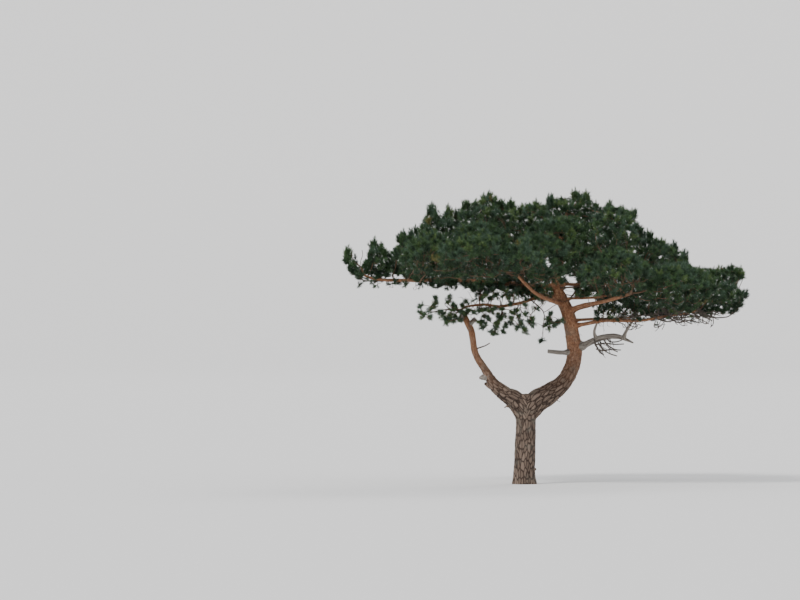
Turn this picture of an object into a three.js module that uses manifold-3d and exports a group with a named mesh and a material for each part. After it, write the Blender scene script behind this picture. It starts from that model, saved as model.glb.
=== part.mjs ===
// A wind-shaped scots pine, in millimetres, +Z up.
// The origin is the centre of the flat cut under the trunk. +X runs along the wide side of the
// crown, with the long level bough pointing to -X, and +Y runs across it.

import * as THREE from "three";
import { mergeVertices } from "three/addons/utils/BufferGeometryUtils.js";
import Module from "manifold-3d";

const wasm = await Module();
wasm.setup();

// Driving dimensions
const trunkRadius = 179;
const footRadius = 208;
const forkHeight = 1600;
const crownHalfDepth = 2720;
const gap = 0.6; // between a piece and the ones that it is cut by

// Small helpers
const place = (x, y, z) => new THREE.Vector3(x, y, z);
const smooth = (t) => t * t * (3 - 2 * t);

// A value read off a few [position, value] pairs, with straight runs between them.
function along(pairs, position) {
  const after = pairs.findIndex(([at]) => at > position);
  if (after === 0) return pairs[0][1];
  if (after < 0) return pairs[pairs.length - 1][1];
  const [fromAt, fromValue] = pairs[after - 1];
  const [toAt, toValue] = pairs[after];
  return THREE.MathUtils.mapLinear(position, fromAt, toAt, fromValue, toValue);
}

// A seeded run of numbers from 0 to 1, so that the tree is the same each time.
function dice(seed) {
  let state = seed * 7919 + 17;
  return () => {
    state = (state * 16807) % 2147483647;
    return state / 2147483647;
  };
}

// Solids for cutting and joining
function solidOf(geometry) {
  const bare = geometry.clone();
  bare.deleteAttribute("normal");
  bare.deleteAttribute("uv");
  const merged = mergeVertices(bare, 1e-3);
  const corners = Float32Array.from(merged.attributes.position.array);
  const triangles = Uint32Array.from(merged.index.array);
  return new wasm.Manifold(
    new wasm.Mesh({ numProp: 3, vertProperties: corners, triVerts: triangles })
  );
}

function geometryOf(solid) {
  const mesh = solid.getMesh();
  const geometry = new THREE.BufferGeometry();
  geometry.setAttribute("position", new THREE.BufferAttribute(mesh.vertProperties, 3));
  geometry.setIndex(new THREE.BufferAttribute(mesh.triVerts, 1));
  geometry.computeVertexNormals();
  return geometry;
}

// Of the pieces that a cut leaves, the largest stays.
function largestPiece(solid) {
  const pieces = solid.decompose();
  return pieces.reduce((best, piece) => (piece.volume() > best.volume() ? piece : best));
}

function cutBy(solid, cutters) {
  return cutters.reduce((left, cutter) => left.subtract(cutter), solid);
}

// Limbs
//
// A limb is a closed cylinder whose rows of corners are moved on to a curve through its stations.
// A station is [x, y, z, radius]. The end is a dome, or flat where the limb has snapped or another
// one goes on from it. The foot and the end can be squared to a given direction, and the foot set
// a little way along it, clear of the limb that it goes on from.
const domeTurns = [0.6, 1.1]; // radians from a dome's rim to each of its rows
function limb(spec, grow = 0) {
  const { stations, sides = 8, steps = 2, flatEnd = false } = spec;
  const { footFaces, footGap = 0, endFaces, flare } = spec;
  const curve = new THREE.CatmullRomCurve3(
    stations.map(([x, y, z]) => place(x, y, z)),
    false,
    "centripetal"
  );
  const radii = stations.map((station, i) => [i / (stations.length - 1), station[3]]);
  const rowCount = (stations.length - 1) * steps + 1;
  const rows = [];
  for (let i = 0; i < rowCount; i += 1) {
    const t = i / (rowCount - 1);
    const faces = (i === 0 && footFaces) || (i === rowCount - 1 && endFaces) || curve.getTangent(t);
    rows.push({ centre: curve.getPoint(t), tangent: faces, radius: along(radii, t) });
  }
  if (footFaces) rows[0].centre.addScaledVector(footFaces, footGap);
  if (!flatEnd) {
    const end = rows[rows.length - 1];
    for (const turn of domeTurns) {
      const centre = end.centre.clone().addScaledVector(end.tangent, Math.sin(turn) * end.radius);
      rows.push({ centre, tangent: end.tangent, radius: end.radius * Math.cos(turn) });
    }
  }
  if (grow > 0) {
    const first = rows[0];
    const last = rows[rows.length - 1];
    first.centre.addScaledVector(first.tangent, -grow);
    last.centre.addScaledVector(last.tangent, grow);
  }

  // The rows turn about an axis that the limb never runs along.
  const chord = rows[rows.length - 1].centre.clone().sub(rows[0].centre);
  const acrossDepth = Math.abs(chord.y) > Math.max(Math.abs(chord.x), Math.abs(chord.z));
  const reference = acrossDepth ? place(1, 0, 0) : place(0, 1, 0);

  const geometry = new THREE.CylinderGeometry(1, 1, 1, sides, rows.length - 1);
  const position = geometry.attributes.position;
  for (let i = 0; i < position.count; i += 1) {
    const row = rows[Math.round((position.getY(i) + 0.5) * (rows.length - 1))];
    const across = row.tangent.clone().cross(reference).normalize();
    const upright = across.clone().cross(row.tangent);
    const angle = Math.atan2(position.getZ(i), position.getX(i));
    const swell = flare ? flare(row.centre.z, angle) : 1;
    const radius = row.radius * swell + grow;
    const corner = row.centre
      .clone()
      .addScaledVector(across, position.getX(i) * radius)
      .addScaledVector(upright, position.getZ(i) * radius);
    position.setXYZ(i, corner.x, corner.y, corner.z);
  }
  return solidOf(geometry);
}

// The trunk stands nearly plumb, swells into the fork and ends in the saddle between the limbs.
const buttressCount = 5;
const buttressDepth = 0.09;
const buttressHeight = 240;
const trunk = {
  stations: [
    [0, 0, 0, footRadius],
    [0, 0, 80, (footRadius + trunkRadius) / 2],
    [0, 0, 260, trunkRadius + 2],
    [14, 6, 0.45 * forkHeight, trunkRadius - 3],
    [26, 10, 0.68 * forkHeight, trunkRadius - 12],
    [24, 10, 0.8 * forkHeight, trunkRadius + 2],
    [6, 8, forkHeight - 140, trunkRadius + 14],
  ],
  sides: 12,
  steps: 1,
  footFaces: place(0, 0, 1),
  flare: (height, angle) => {
    const fade = Math.exp(-height / buttressHeight);
    return 1 + buttressDepth * fade * Math.cos(buttressCount * angle + 0.7);
  },
};

// The leader leaves the fork to the right, turns upright at its bend, then leans back over the
// trunk and runs up through the crown.
const leaderBend = [810, 94, 1988, 132];
const leaderBendFaces = place(110, 6, 240).normalize();
const leaderLower = {
  stations: [
    [140, 18, 1462, 202],
    [349, 44, 1564, 192],
    [496, 62, 1655, 170],
    [652, 80, 1775, 148],
    [756, 90, 1892, 136],
    leaderBend,
  ],
  sides: 11,
  steps: 1,
  flatEnd: true,
  endFaces: leaderBendFaces,
};
const leaderUpper = {
  stations: [
    leaderBend,
    [872, 96, 2140, 131],
    [912, 84, 2360, 132],
    [884, 40, 2560, 126],
    [850, 0, 2760, 121],
    [806, -34, 2980, 118],
    [742, -52, 3180, 110],
    [640, -50, 3380, 103],
    [568, -30, 3590, 84],
    [580, 10, 3860, 66],
    [600, 44, 4140, 54],
    [660, 50, 4440, 42],
    [730, 30, 4740, 30],
    [790, 10, 5010, 17],
  ],
  sides: 9,
  steps: 1,
  footFaces: leaderBendFaces,
  footGap: gap,
};

// The left limb was snapped at its bend long ago, and a thinner one went on from there.
const leftBend = [-634, -92, 1916, 84];
const leftBendFaces = place(-150, -28, 304).normalize();
const leftLimbLower = {
  stations: [
    [-80, -12, 1486, 176],
    [-209, -34, 1542, 158],
    [-345, -54, 1620, 128],
    [-520, -76, 1752, 112],
    leftBend,
  ],
  sides: 10,
  steps: 1,
  flatEnd: true,
  endFaces: leftBendFaces,
};
const leftLimbUpper = {
  stations: [
    leftBend,
    [-702, -104, 2052, 68],
    [-828, -126, 2232, 61],
    [-904, -142, 2394, 56],
    [-925, -152, 2556, 56],
    [-951, -160, 2754, 58],
    [-1036, -150, 2914, 55],
    [-1090, -134, 3044, 49],
    [-1220, -118, 3138, 34],
    [-1430, -110, 3172, 22],
  ],
  sides: 8,
  steps: 1,
  footFaces: leftBendFaces,
  footGap: gap,
};

// Dead wood: what is left of broken limbs, and one bare bough that arches to the right.
const leftSnag = {
  stations: [
    [-575, -88, 1812, 84],
    [-692, -96, 1854, 62],
    [-808, -100, 1922, 20],
  ],
  sides: 7,
  steps: 1,
  flatEnd: true,
};
const leftStub = {
  stations: [
    [-944, -160, 2770, 44],
    [-924, -172, 2880, 40],
    [-914, -180, 2985, 35],
  ],
  sides: 7,
  steps: 1,
  flatEnd: true,
};
const leaderStub = {
  stations: [
    [860, 60, 2374, 44],
    [640, -40, 2364, 38],
    [414, -110, 2391, 34],
  ],
  sides: 7,
  steps: 1,
  flatEnd: true,
};
const deadBough = {
  stations: [
    [900, 60, 2424, 74],
    [1060, 30, 2486, 59],
    [1180, 0, 2554, 50],
    [1360, -40, 2630, 47],
    [1570, -80, 2665, 44],
    [1720, -110, 2652, 37],
    [1965, -154, 2535, 10],
  ],
  sides: 7,
  steps: 1,
  flatEnd: true,
};

// Two dead shoots stand between the dead bough and the low bough above it.
const deadShootLeft = {
  stations: [
    [1290, -24, 2600, 24],
    [1244, -70, 2723, 21],
    [1276, -130, 2840, 19],
    [1312, -200, 2940, 18],
  ],
  sides: 6,
  steps: 1,
  flatEnd: true,
};
const deadShootRight = {
  stations: [
    [1770, -118, 2630, 26],
    [1826, -190, 2760, 24],
    [1892, -270, 2862, 22],
    [1924, -330, 2946, 21],
  ],
  sides: 6,
  steps: 1,
  flatEnd: true,
};

// The middle of the leader at a height, from which the live boughs start.
function leaderAt(height) {
  const coordinate = (index) => leaderUpper.stations.map((station) => [station[2], station[index]]);
  return [along(coordinate(0), height), along(coordinate(1), height), height];
}

// A live bough leaves the leader at a height and goes through its turns. Its radius falls from
// the first value to the second.
function bough({ leaves, turns, radii, steps = 2, endsIn }) {
  const places = [leaderAt(leaves), ...turns];
  const stations = places.map((at, i) => {
    const share = i / (places.length - 1);
    return [...at, THREE.MathUtils.lerp(radii[0], radii[1], Math.pow(share, 0.8))];
  });
  return { stations, sides: 6, steps, endsIn };
}

// These four run on under the foliage, which makes room for them up to the mass that each ends in.
const openBoughs = {
  bough_left_low: bough({
    leaves: 3360,
    turns: [
      [180, -120, 3345],
      [-60, -190, 3262],
      [-440, -230, 3190],
      [-720, -240, 3235],
      [-980, -250, 3208],
      [-1240, -220, 3160],
      [-1560, -180, 3190],
    ],
    radii: [34, 15],
    steps: 1,
    endsIn: "mass_left_sprays",
  }),
  bough_left_long: bough({
    leaves: 3520,
    turns: [
      [-60, 60, 3592],
      [-700, 110, 3625],
      [-1330, 90, 3690],
      [-1960, 40, 3664],
      [-2480, 0, 3668],
      [-2740, -10, 3696],
      [-2960, 10, 3792],
      [-3130, 20, 4000],
    ],
    radii: [52, 14],
    steps: 1,
    endsIn: "mass_left_tip",
  }),
  bough_right_low: bough({
    leaves: 2830,
    turns: [
      [1190, -150, 2903],
      [1420, -240, 2946],
      [1900, -330, 2940],
      [2180, -350, 2956],
      [2480, -350, 3014],
      [2900, -330, 3076],
      [3350, -260, 3190],
    ],
    radii: [36, 17],
    steps: 1,
    endsIn: "mass_right_end",
  }),
  bough_right_high: bough({
    leaves: 3590,
    turns: [
      [760, -70, 3594],
      [1040, -120, 3586],
      [1360, -150, 3630],
      [1700, -150, 3740],
    ],
    radii: [32, 18],
    steps: 1,
    endsIn: "mass_right_middle",
  }),
};

// The other boughs end where they enter the foliage.
const boughs = {
  bough_right_back: bough({
    leaves: 2945,
    turns: [
      [1240, 130, 2968],
      [1640, 330, 2974],
      [2100, 520, 3030],
      [2500, 640, 3200],
    ],
    radii: [27, 16],
  }),
  bough_right_middle: bough({
    leaves: 3110,
    turns: [
      [1180, 60, 3226],
      [1500, 110, 3296],
      [1900, 120, 3420],
    ],
    radii: [45, 26],
  }),
  bough_right_upper: bough({
    leaves: 3345,
    turns: [
      [1100, -200, 3346],
      [1460, -330, 3390],
      [1800, -400, 3560],
    ],
    radii: [25, 16],
  }),
  bough_front_left: bough({
    leaves: 3230,
    turns: [
      [480, -520, 3300],
      [160, -1000, 3440],
      [-200, -1420, 3800],
    ],
    radii: [44, 24],
  }),
  bough_front_right: bough({
    leaves: 3110,
    turns: [
      [1040, -430, 3220],
      [1400, -900, 3284],
      [1840, -1340, 3420],
    ],
    radii: [42, 24],
  }),
  bough_back_left: bough({
    leaves: 3280,
    turns: [
      [440, 520, 3380],
      [60, 980, 3470],
      [-300, 1420, 3820],
    ],
    radii: [46, 24],
  }),
  bough_back_right: bough({
    leaves: 3070,
    turns: [
      [1020, 440, 3176],
      [1340, 960, 3264],
      [1640, 1450, 3610],
    ],
    radii: [42, 24],
  }),
};

// Foliage
//
// A mass is a ball of triangles, drawn out to its own half sizes, flatter below than above, with
// seeded lumps and hollows, and leaning where its shoots do.
const lumpCount = 9;
const lumpSpread = 0.6; // 1 would be a lump as narrow as a point
const lowestLump = -0.7; // on a ball of radius 1
const outlineLump = 0.13; // half of a lump's largest height, as a share of the radius
const rowLump = 0.2;
const hollowShare = 0.42; // of the lumps that go inwards
const balls = {
  fine: () => new THREE.IcosahedronGeometry(1, 2),
  middling: () => new THREE.OctahedronGeometry(1, 3),
  coarse: () => new THREE.IcosahedronGeometry(1, 1),
};
function mass(spec, grow = 0) {
  const { at, half, up, down, lean = 0, seed, ball = "fine", lump = outlineLump } = spec;
  const roll = dice(seed);
  const lumps = [];
  for (let i = 0; i < lumpCount; i += 1) {
    const height = THREE.MathUtils.lerp(lowestLump, 1, roll());
    const turn = roll() * 2 * Math.PI;
    const reach = Math.sqrt(Math.max(0, 1 - height * height));
    const towards = place(Math.cos(turn) * reach, Math.sin(turn) * reach, height).normalize();
    lumps.push({ towards, size: (roll() - hollowShare) * lump * 2 });
  }
  const geometry = balls[ball]();
  const position = geometry.attributes.position;
  const outward = new THREE.Vector3();
  for (let i = 0; i < position.count; i += 1) {
    outward.fromBufferAttribute(position, i).normalize();
    let factor = 1;
    for (const { towards, size } of lumps) {
      const near = outward.dot(towards) * (1 + lumpSpread) - lumpSpread;
      factor += size * smooth(Math.max(0, near));
    }
    const z = outward.z * ((outward.z > 0 ? up : down) * factor + grow);
    const x = outward.x * (half[0] * factor + grow) + lean * z;
    const y = outward.y * (half[1] * factor + grow);
    position.setXYZ(i, at[0] + x, at[1] + y, at[2] + z);
  }
  return solidOf(geometry);
}

// Two masses that run into each other are parted by a flat cut where their skins would cross.
const slabSize = 5000;
const farApart = 1.3; // of the two masses' reaches, beyond which no lump can meet another
function reachTowards({ half, up, down }, direction) {
  const upright = direction.z > 0 ? up : down;
  return 1 / Math.hypot(direction.x / half[0], direction.y / half[1], direction.z / upright);
}
function slabBetween(spec, other) {
  const apart = place(...other.at).sub(place(...spec.at));
  const direction = apart.clone().normalize();
  const ownReach = reachTowards(spec, direction);
  const otherReach = reachTowards(other, direction.clone().negate());
  if (apart.length() > farApart * (ownReach + otherReach)) return null;
  const crossing = place(...spec.at).addScaledVector(apart, ownReach / (ownReach + otherReach));
  const steepness = (index) => 1 / spec.half[index] ** 2 + 1 / other.half[index] ** 2;
  const upright = 1 / (spec.up * spec.down) + 1 / (other.up * other.down);
  const faces = place(direction.x * steepness(0), direction.y * steepness(1), direction.z * upright);
  faces.normalize();
  const slab = new THREE.BoxGeometry(slabSize, slabSize, slabSize);
  slab.applyQuaternion(new THREE.Quaternion().setFromUnitVectors(place(1, 0, 0), faces));
  const middle = crossing.addScaledVector(faces, (slabSize - gap) / 2);
  slab.translate(middle.x, middle.y, middle.z);
  return solidOf(slab);
}

// The masses that make the crown's outline, from the left tip to the right one.
const outlineMasses = {
  mass_left_tip: { at: [-3095, 20, 3900], half: [160, 190], up: 385, down: 225, lean: -0.2, ball: "coarse" },
  mass_left_end: { at: [-2670, -30, 4005], half: [265, 350], up: 385, down: 245, ball: "middling" },
  mass_left_shoulder: { at: [-2055, 20, 4090], half: [340, 500], up: 500, down: 370 },
  mass_left_low: { at: [-1540, -60, 3850], half: [580, 600], up: 420, down: 270, ball: "middling" },
  mass_left_top: { at: [-1525, 40, 4480], half: [415, 560], up: 520, down: 370, ball: "middling" },
  mass_left_middle: { at: [-740, 20, 3930], half: [600, 620], up: 450, down: 490, ball: "middling" },
  mass_top_left: { at: [-760, 60, 4680], half: [570, 600], up: 470, down: 420, ball: "middling" },
  mass_centre_left: { at: [70, -40, 3890], half: [540, 620], up: 420, down: 520, ball: "coarse" },
  mass_top_middle: { at: [60, -80, 4640], half: [480, 600], up: 440, down: 430, ball: "middling" },
  mass_top_crest: { at: [860, 40, 4790], half: [530, 620], up: 490, down: 420, ball: "middling" },
  mass_centre_right: { at: [1020, 20, 3980], half: [480, 620], up: 450, down: 395, ball: "coarse" },
  mass_top_right: { at: [1565, -20, 4450], half: [420, 600], up: 500, down: 420 },
  mass_right_middle: { at: [1830, 40, 3730], half: [540, 620], up: 440, down: 370, ball: "middling" },
  mass_right_shoulder: {
    at: [2395, 0, 3985], half: [525, 580], up: 425, down: 350, lean: -0.25, ball: "middling",
  },
  mass_right_low: { at: [2400, -20, 3370], half: [620, 620], up: 400, down: 340, ball: "middling" },
  mass_right_end: { at: [3410, -10, 3390], half: [535, 560], up: 350, down: 320 },
  mass_right_crest: { at: [3465, 30, 3765], half: [490, 430], up: 225, down: 170, ball: "middling" },
  mass_right_sprays: { at: [1590, -110, 3150], half: [320, 270], up: 95, down: 110, ball: "coarse" },
  mass_left_sprays: { at: [-1450, -130, 3150], half: [450, 300], up: 230, down: 240, ball: "coarse" },
  mass_low_sprays: { at: [-260, -200, 2990], half: [560, 350], up: 195, down: 175, ball: "coarse" },
};

// The outline's underside and top by x, which the masses in front and behind keep inside.
const underside = [
  [-2600, 3760],
  [-1500, 3640],
  [1000, 3560],
  [2200, 3120],
  [3700, 3100],
];
const topSide = [
  [-3000, 4150],
  [-1900, 4650],
  [-800, 5080],
  [1000, 5160],
  [1900, 4780],
  [2600, 4220],
  [3800, 3700],
];

// Rows in front of and behind the outline masses, from the middle of the crown to its rim. A row
// further out is lower, as a dome is.
const innerRow = {
  share: 0.44,
  halfDepth: 620,
  columns: { far_left: -1780, left: -640, middle: 520, right: 1620, far_right: 2640 },
};
const outerRow = {
  share: 0.785,
  halfDepth: 590,
  columns: { left: -960, middle: 270, right: 1500 },
};
const columnShift = 380;
const rowShift = 260;
const halfWidths = [580, 700];
const depthShares = [0.9, 1.15];
const domeShares = [0.86, 0.96];
const rimRise = 40; // by which the outer row's underside is higher than the inner one's
const widestAt = 0.42; // of a mass's height

function rowMasses(side, sign, firstSeed) {
  const made = {};
  let seed = firstSeed;
  for (const [rowName, row] of Object.entries({ inner: innerRow, outer: outerRow })) {
    for (const [column, x] of Object.entries(row.columns)) {
      const roll = dice(seed);
      const pick = ([least, most]) => THREE.MathUtils.lerp(least, most, roll());
      const middleX = x + (roll() - 0.5) * columnShift;
      const middleY = sign * row.share * crownHalfDepth + (roll() - 0.5) * rowShift;
      const dome = Math.sqrt(1 - row.share ** 2) * pick(domeShares);
      const low = along(underside, middleX) + (row === outerRow ? rimRise : 0);
      const high = low + (along(topSide, middleX) - low) * dome;
      const middle = THREE.MathUtils.lerp(low, high, widestAt);
      made[`mass_${side}_${rowName}_${column}`] = {
        at: [middleX, middleY, middle],
        half: [pick(halfWidths), row.halfDepth * pick(depthShares)],
        up: high - middle,
        down: middle - low,
        ball: "middling",
        lump: rowLump,
      };
      seed += 7;
    }
  }
  return made;
}

// Assembly
const bark = { color: 0x6b5443, roughness: 0.95, metalness: 0 };
const upperBark = { color: 0x8a5c3c, roughness: 0.9, metalness: 0 };
const deadWood = { color: 0x7d7468, roughness: 0.95, metalness: 0 };
const needles = { color: 0x2f4a2c, roughness: 0.8, metalness: 0 };

const tree = new THREE.Group();
function add(name, solid, finish) {
  const mesh = new THREE.Mesh(geometryOf(solid), new THREE.MeshStandardMaterial(finish));
  mesh.name = name;
  tree.add(mesh);
}

// A limb is cut by the ones that carry it, from the trunk outwards.
const trunkRoom = limb(trunk, gap);
const leaderLowerRoom = limb(leaderLower, gap);
const leaderUpperRoom = limb(leaderUpper, gap);
const leftLowerRoom = limb(leftLimbLower, gap);
const leftUpperRoom = limb(leftLimbUpper, gap);
const leaderRooms = [leaderLowerRoom, leaderUpperRoom];
const leftRooms = [leftLowerRoom, leftUpperRoom];
const trunkSolid = limb(trunk);
const leftLowerSolid = cutBy(limb(leftLimbLower), [trunkRoom, leaderLowerRoom]);
add("trunk", trunkSolid, bark);
add("leader_lower", largestPiece(limb(leaderLower).subtract(trunkRoom)), bark);
add("leader_upper", limb(leaderUpper), upperBark);
add("left_limb_lower", largestPiece(leftLowerSolid), bark);
add("left_snag", largestPiece(cutBy(limb(leftSnag), leftRooms)), deadWood);
add("left_stub", largestPiece(cutBy(limb(leftStub), leftRooms)), deadWood);
add("leader_stub", largestPiece(cutBy(limb(leaderStub), leaderRooms)), deadWood);
add("dead_bough", largestPiece(cutBy(limb(deadBough), leaderRooms)), deadWood);
const shootRooms = [limb(deadBough, gap), limb(openBoughs.bough_right_low, gap)];
add("dead_shoot_left", largestPiece(cutBy(limb(deadShootLeft), shootRooms)), deadWood);
add("dead_shoot_right", largestPiece(cutBy(limb(deadShootRight), shootRooms)), deadWood);

// The masses are parted from each other, and make room for the leader and the open boughs.
const massSpecs = Object.entries({
  ...outlineMasses,
  ...rowMasses("front", -1, 900),
  ...rowMasses("back", 1, 1200),
}).map(([name, spec], i) => ({ name, seed: i + 1, ...spec }));
for (const spec of massSpecs) {
  const others = massSpecs.filter((other) => other !== spec);
  const slabs = others.map((other) => slabBetween(spec, other)).filter((slab) => slab);
  const passing = Object.values(openBoughs).filter(({ endsIn }) => endsIn !== spec.name);
  const rooms = [leaderUpperRoom, ...passing.map((through) => limb(through, gap))];
  add(spec.name, largestPiece(cutBy(mass(spec), [...slabs, ...rooms])), needles);
}

// The limbs and boughs end where they enter a mass.
const massRoom = (name) => mass(massSpecs.find((spec) => spec.name === name), gap);
const massRooms = massSpecs.map((spec) => mass(spec, gap));
const leftUpperSolid = limb(leftLimbUpper).subtract(massRoom("mass_left_sprays"));
add("left_limb_upper", largestPiece(leftUpperSolid), upperBark);
const boughRooms = [];
for (const [name, spec] of Object.entries({ ...openBoughs, ...boughs })) {
  const ends = spec.endsIn ? [massRoom(spec.endsIn)] : massRooms;
  add(name, largestPiece(cutBy(limb(spec), [leaderUpperRoom, ...boughRooms, ...ends])), upperBark);
  boughRooms.push(limb(spec, gap));
}

export default tree;
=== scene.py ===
# %% [markdown]
# # A wind-shaped scots pine
# The frame holds the tree as plain solids: a trunk, limbs and boughs, and lumps that stand for masses of
# foliage. This lesson puts the real surface in their place: wood with bark, twigs that grow on from the
# limbs, and thousands of needle shoots. Lengths are metres, +Z is up and the foot is at the origin.

# %% Load the frame
import math

import bmesh
import bpy
import numpy as np
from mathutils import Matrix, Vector, noise
from mathutils.bvhtree import BVHTree


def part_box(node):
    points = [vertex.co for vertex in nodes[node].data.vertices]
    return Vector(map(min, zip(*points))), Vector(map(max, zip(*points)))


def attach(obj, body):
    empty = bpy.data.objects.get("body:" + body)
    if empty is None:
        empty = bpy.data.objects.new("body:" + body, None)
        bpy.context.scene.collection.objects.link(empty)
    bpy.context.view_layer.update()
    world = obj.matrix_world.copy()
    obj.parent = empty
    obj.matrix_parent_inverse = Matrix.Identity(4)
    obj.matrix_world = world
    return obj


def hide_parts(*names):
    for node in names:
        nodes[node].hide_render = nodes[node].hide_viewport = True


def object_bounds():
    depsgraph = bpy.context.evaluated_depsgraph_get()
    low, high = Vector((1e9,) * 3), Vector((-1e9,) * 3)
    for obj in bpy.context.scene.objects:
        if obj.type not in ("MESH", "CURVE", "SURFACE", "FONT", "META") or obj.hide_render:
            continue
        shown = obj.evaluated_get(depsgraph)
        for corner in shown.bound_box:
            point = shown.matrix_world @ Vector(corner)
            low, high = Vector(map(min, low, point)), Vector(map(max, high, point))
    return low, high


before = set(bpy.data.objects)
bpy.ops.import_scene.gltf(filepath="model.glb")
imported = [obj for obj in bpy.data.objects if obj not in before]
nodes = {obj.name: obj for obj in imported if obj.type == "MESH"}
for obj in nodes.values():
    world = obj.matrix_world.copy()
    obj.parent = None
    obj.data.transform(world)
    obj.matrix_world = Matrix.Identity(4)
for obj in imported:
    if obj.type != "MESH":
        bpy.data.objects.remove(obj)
cad_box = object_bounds()
masses = sorted(name for name in nodes if name.startswith("mass_"))
limbs = sorted(name for name in nodes if not name.startswith("mass_"))
print(len(limbs), "limbs and", len(masses), "masses of foliage")

# %% [markdown]
# ## Where the camera stands
# A tree on open ground is taken from far off with a long lens, so it shows almost no perspective. The
# picture is 800 pixels wide, and a pixel at the tree is 18 mm. The distance and the width that the picture
# takes in give the lens.

# %% Camera
def new_object(name, data):
    made = bpy.data.objects.new(name, data)
    bpy.context.scene.collection.objects.link(made)
    return made


pixel = 0.018
picture_width = 800 * pixel
foot_in_picture = (524.5, 484)
picture_middle = (400, 300)
distance = 102.5
eye = Vector((
    (picture_middle[0] - foot_in_picture[0]) * pixel,
    -distance,
    (foot_in_picture[1] - picture_middle[1]) * pixel,
))
camera_data = bpy.data.cameras.new("long_lens")
camera_data.sensor_width = 36
camera_data.lens = camera_data.sensor_width * distance / picture_width
camera_data.clip_end = 900
camera = new_object("camera", camera_data)
camera.location = eye
camera.rotation_euler = (math.pi / 2, 0, 0)
bpy.context.scene.camera = camera
print("lens", round(camera_data.lens), "mm, eye at", [round(v, 2) for v in eye])


def seen_at(places):
    """Where points fall on the upright plane through the foot, as the camera sees them: (x, z)."""
    places = np.asarray(places, float)
    nearness = distance / (places[:, 1] + distance)
    return np.stack([
        eye.x + (places[:, 0] - eye.x) * nearness,
        eye.z + (places[:, 2] - eye.z) * nearness,
    ], axis=1)


def from_picture(spots, depth=0.0):
    """Places in the tree for spots of the picture, in pixels, at a depth behind the foot."""
    spots = np.asarray(spots, float)
    depth = np.broadcast_to(depth, len(spots))
    farness = (depth + distance) / distance
    across = (spots[:, 0] - foot_in_picture[0]) * pixel
    high = (foot_in_picture[1] - spots[:, 1]) * pixel
    return np.stack([eye.x + (across - eye.x) * farness, depth, eye.z + (high - eye.z) * farness], axis=1)


# %% [markdown]
# ## A pale floor and soft light
# The floor is one great dish, flat under the tree and curved up at its rim, so that from any side it runs
# into the background with no horizon. It is turned from one profile, as on a lathe. A wide sun lamp makes
# the soft main light, and the pale world fills the shadows.

# %% Helpers for meshes and materials
def mesh_object(name, corners, faces, edges=()):
    mesh = bpy.data.meshes.new(name)
    mesh.from_pydata([tuple(corner) for corner in corners], edges, faces)
    return new_object(name, mesh)


def corners_of(mesh):
    places = np.empty(len(mesh.vertices) * 3)
    mesh.vertices.foreach_get("co", places)
    return places.reshape(-1, 3)


def plain_material(name, colour, roughness, specular=0.5):
    material = bpy.data.materials.new(name)
    material.use_nodes = True
    shader = material.node_tree.nodes["Principled BSDF"]
    shader.inputs["Base Color"].default_value = (*colour, 1)
    shader.inputs["Roughness"].default_value = roughness
    shader.inputs["Specular IOR Level"].default_value = specular
    return material


# %% Floor, world and lamps
floor_flat, floor_curve, floor_turns = 170, 90, 96
rim_steps, rim_angle = 12, math.radians(80)
profile = [(0.0, 0.0), (40.0, 0.0), (110.0, 0.0)]
for step in range(rim_steps + 1):
    angle = rim_angle * step / rim_steps
    profile.append((floor_flat + floor_curve * math.sin(angle), floor_curve * (1 - math.cos(angle))))
corners = [(0, 0, 0)]
for radius, height in profile[1:]:
    for turn in range(floor_turns):
        angle = 2 * math.pi * turn / floor_turns
        corners.append((radius * math.cos(angle), radius * math.sin(angle), height))
faces = [(0, 1 + turn, 1 + (turn + 1) % floor_turns) for turn in range(floor_turns)]
for ring in range(len(profile) - 2):
    for turn in range(floor_turns):
        inner = 1 + ring * floor_turns + turn
        inner_next = 1 + ring * floor_turns + (turn + 1) % floor_turns
        faces.append((inner, inner + floor_turns, inner_next + floor_turns, inner_next))
floor = mesh_object("studio_floor", corners, faces)
floor.data.shade_smooth()
floor.data.materials.append(plain_material("studio_pale", (0.78, 0.77, 0.75), 0.9, 0.2))

world = bpy.data.worlds.new("soft_world")
world.use_nodes = True
world.node_tree.nodes["Background"].inputs["Color"].default_value = (0.93, 0.95, 1.0, 1)
world.node_tree.nodes["Background"].inputs["Strength"].default_value = 0.95
bpy.context.scene.world = world


def sun_lamp(name, energy, softness, azimuth, elevation):
    """A lamp whose light comes from a compass angle, 0 at the camera's side, and a height."""
    data = bpy.data.lights.new(name, "SUN")
    data.energy = energy
    data.angle = math.radians(softness)
    new_object(name, data).rotation_euler = (math.radians(90 - elevation), 0, math.radians(azimuth))


sun_lamp("main_light", 2.4, 14, -38, 42)
sun_lamp("rim_light", 0.9, 25, 150, 35)
print("floor, world and two lamps")

# %% [markdown]
# ## Reading the limbs off the frame
# Each limb in the frame is a faceted solid. A plane across it cuts out a small polygon, whose middle lies
# on the limb's own line and whose area gives the radius. A first set of cuts, square to the limb's longest
# direction, gives a rough line, and a second set, square to that line, gives a true one.

# %% Triangles of a node
def triangles_of(name):
    mesh = nodes[name].data
    mesh.calc_loop_triangles()
    picks = np.empty(len(mesh.loop_triangles) * 3, dtype=int)
    mesh.loop_triangles.foreach_get("vertices", picks)
    return corners_of(mesh)[picks].reshape(-1, 3, 3)


solid = {name: triangles_of(name) for name in nodes}


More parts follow.
